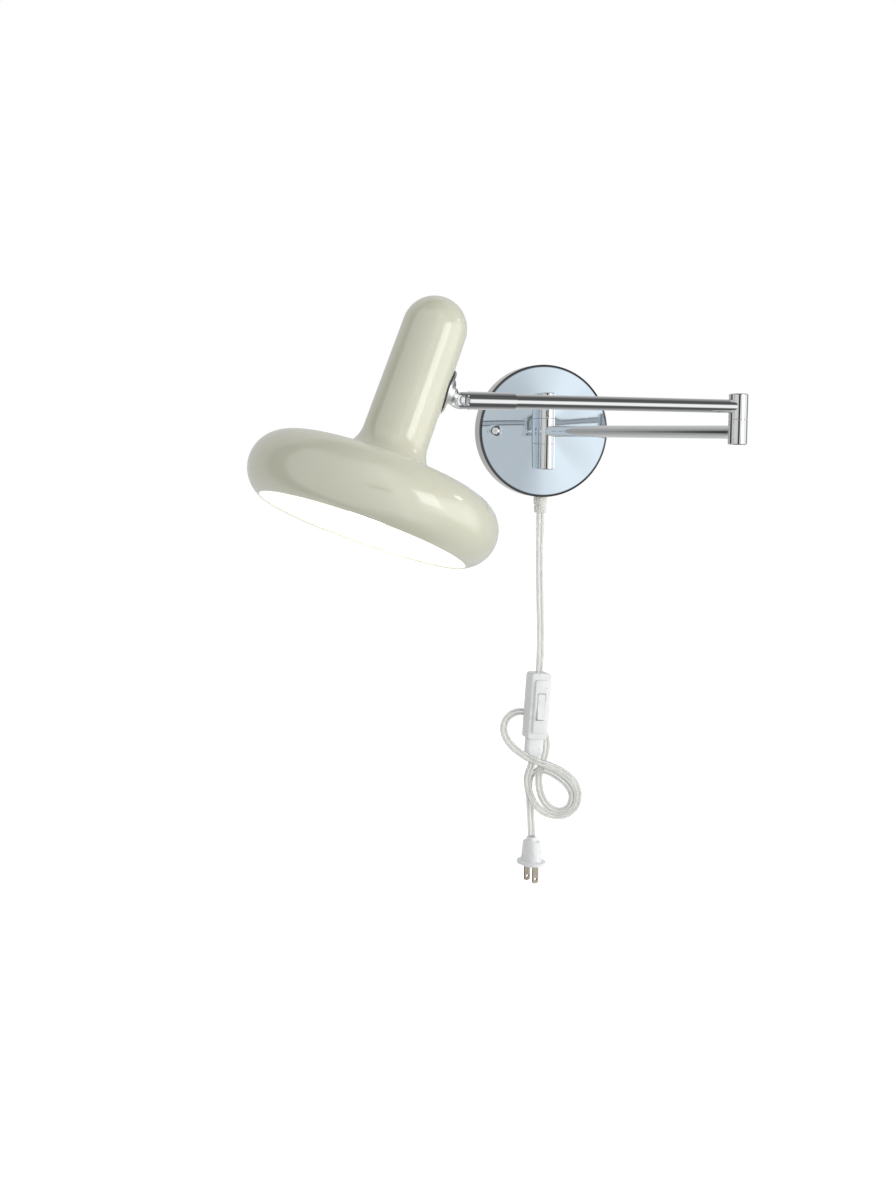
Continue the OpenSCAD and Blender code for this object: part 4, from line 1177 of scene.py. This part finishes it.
class LAMP_OT_studio(bpy.types.Operator):
    """Sets the camera at the photograph's angle, the pale floor, the lights and the white surroundings"""

    bl_idname = "lamp.studio"
    bl_label = "Studio"

    def execute(self, context):
        scene, studio = context.scene, context.scene.lamp_studio
        scene.view_settings.view_transform = "Standard"
        data = bpy.data.cameras.new("camera")
        data.lens, data.sensor_width, data.sensor_fit = studio.lens, 36.0, "AUTO"
        data.clip_start, data.clip_end = 0.01, 100
        camera = added("camera", data)
        az, pitch, roll = studio.azimuth, studio.pitch, studio.roll
        forward = Vector((-math.sin(az) * math.cos(pitch), math.cos(az) * math.cos(pitch), -math.sin(pitch)))
        right = forward.cross(Vector((0, 0, 1))).normalized()
        up = right.cross(forward)
        rolled = right * math.cos(roll) + up * math.sin(roll)
        up = up * math.cos(roll) - right * math.sin(roll)
        facing = Matrix((rolled, up, -forward)).transposed().to_4x4()
        camera.matrix_world = Matrix.Translation(studio.camera_place) @ facing
        scene.camera = camera

        bm = bmesh.new()
        edge = rounded_outline(FLOOR_WIDTH, FLOOR_WIDTH, FLOOR_WIDTH / 2 - 0.01, 24)
        bm.faces.new([bm.verts.new((x, y, 0)) for x, y in edge])
        floor = added("floor", mesh_from("floor", bm))
        floor.location.z = studio.floor_height
        floor.visible_glossy = False
        floor.visible_transmission = False
        mat = new_finish("floor", (0.88, 0.88, 0.88), 0.9)
        mottle(mat, (0.87, 0.87, 0.87), (0.89, 0.89, 0.89), 2)
        path = mat.node_tree.nodes.new("ShaderNodeLightPath")
        glow = maths(mat.node_tree, "MULTIPLY", path.outputs["Is Camera Ray"], FLOOR_GLOW)
        shader_of(mat).inputs["Emission Color"].default_value = (1, 1, 1, 1)
        mat.node_tree.links.new(glow, shader_of(mat).inputs["Emission Strength"])
        floor.data.materials.append(mat)

        studio_world(studio)
        area_light(
            "softbox", heading=41, height=5, reach=5.0, width=1.9, tall=2.4, power=studio.softbox_power
        )
        area_light(
            "small_light", heading=92, height=22, reach=3.0, width=0.55, tall=0.3, power=studio.spot_power
        )
        fill = area_light(
            "fill_light", heading=62, height=4, reach=4.5, width=3.5, tall=3.0, power=studio.fill_power
        )
        fill.visible_glossy = False
        return {"FINISHED"}


# Panel and registration


class LAMP_PT_panel(bpy.types.Panel):
    """Lists the lamp's pieces and the sizes and colours that can be changed"""

    bl_label = "Wall Lamp"
    bl_idname = "LAMP_PT_panel"
    bl_space_type = "VIEW_3D"
    bl_region_type = "UI"
    bl_category = "Wall Lamp"

    def draw(self, context):
        scene = context.scene
        for label, group, operators in PANEL_ROWS:
            box = self.layout.box()
            box.label(text=label)
            for op in operators:
                box.operator(op)
            if group:
                settings = getattr(scene, group)
                for name in settings.bl_rna.properties.keys():
                    if name not in ("rna_type", "name"):
                        box.prop(settings, name)


PANEL_ROWS = [
    ("Shade", "lamp_shade", ["lamp.shade", "lamp.bulb"]),
    ("Cord", "lamp_cord", ["lamp.gland", "lamp.cords"]),
    ("Switch and plug", "lamp_switch", ["lamp.switch", "lamp.plug"]),
    ("Metal", "lamp_metal", ["lamp.metal"]),
    ("Studio", "lamp_studio", ["lamp.studio"]),
]
GROUPS = {
    "lamp_shade": ShadeSettings,
    "lamp_cord": CordSettings,
    "lamp_switch": SwitchSettings,
    "lamp_metal": MetalSettings,
    "lamp_studio": StudioSettings,
}
CLASSES = [
    *GROUPS.values(), LAMP_OT_shade, LAMP_OT_bulb, LAMP_OT_cords, LAMP_OT_gland, LAMP_OT_switch, LAMP_OT_plug,
    LAMP_OT_metal, LAMP_OT_studio, LAMP_PT_panel,
]


def register():
    for cls in CLASSES:
        bpy.utils.register_class(cls)
    for name, group in GROUPS.items():
        setattr(bpy.types.Scene, name, bpy.props.PointerProperty(type=group))


def unregister():
    for name in GROUPS:
        delattr(bpy.types.Scene, name)
    for cls in reversed(CLASSES):
        bpy.utils.unregister_class(cls)


def main():
    register()
    bpy.ops.lamp.studio()
    bpy.ops.lamp.metal()
    bpy.ops.lamp.switch()
    bpy.ops.lamp.plug()
    bpy.ops.lamp.cords()
    bpy.ops.lamp.gland()
    bpy.ops.lamp.shade()
    bpy.ops.lamp.bulb()


if __name__ == "__main__":
    main()
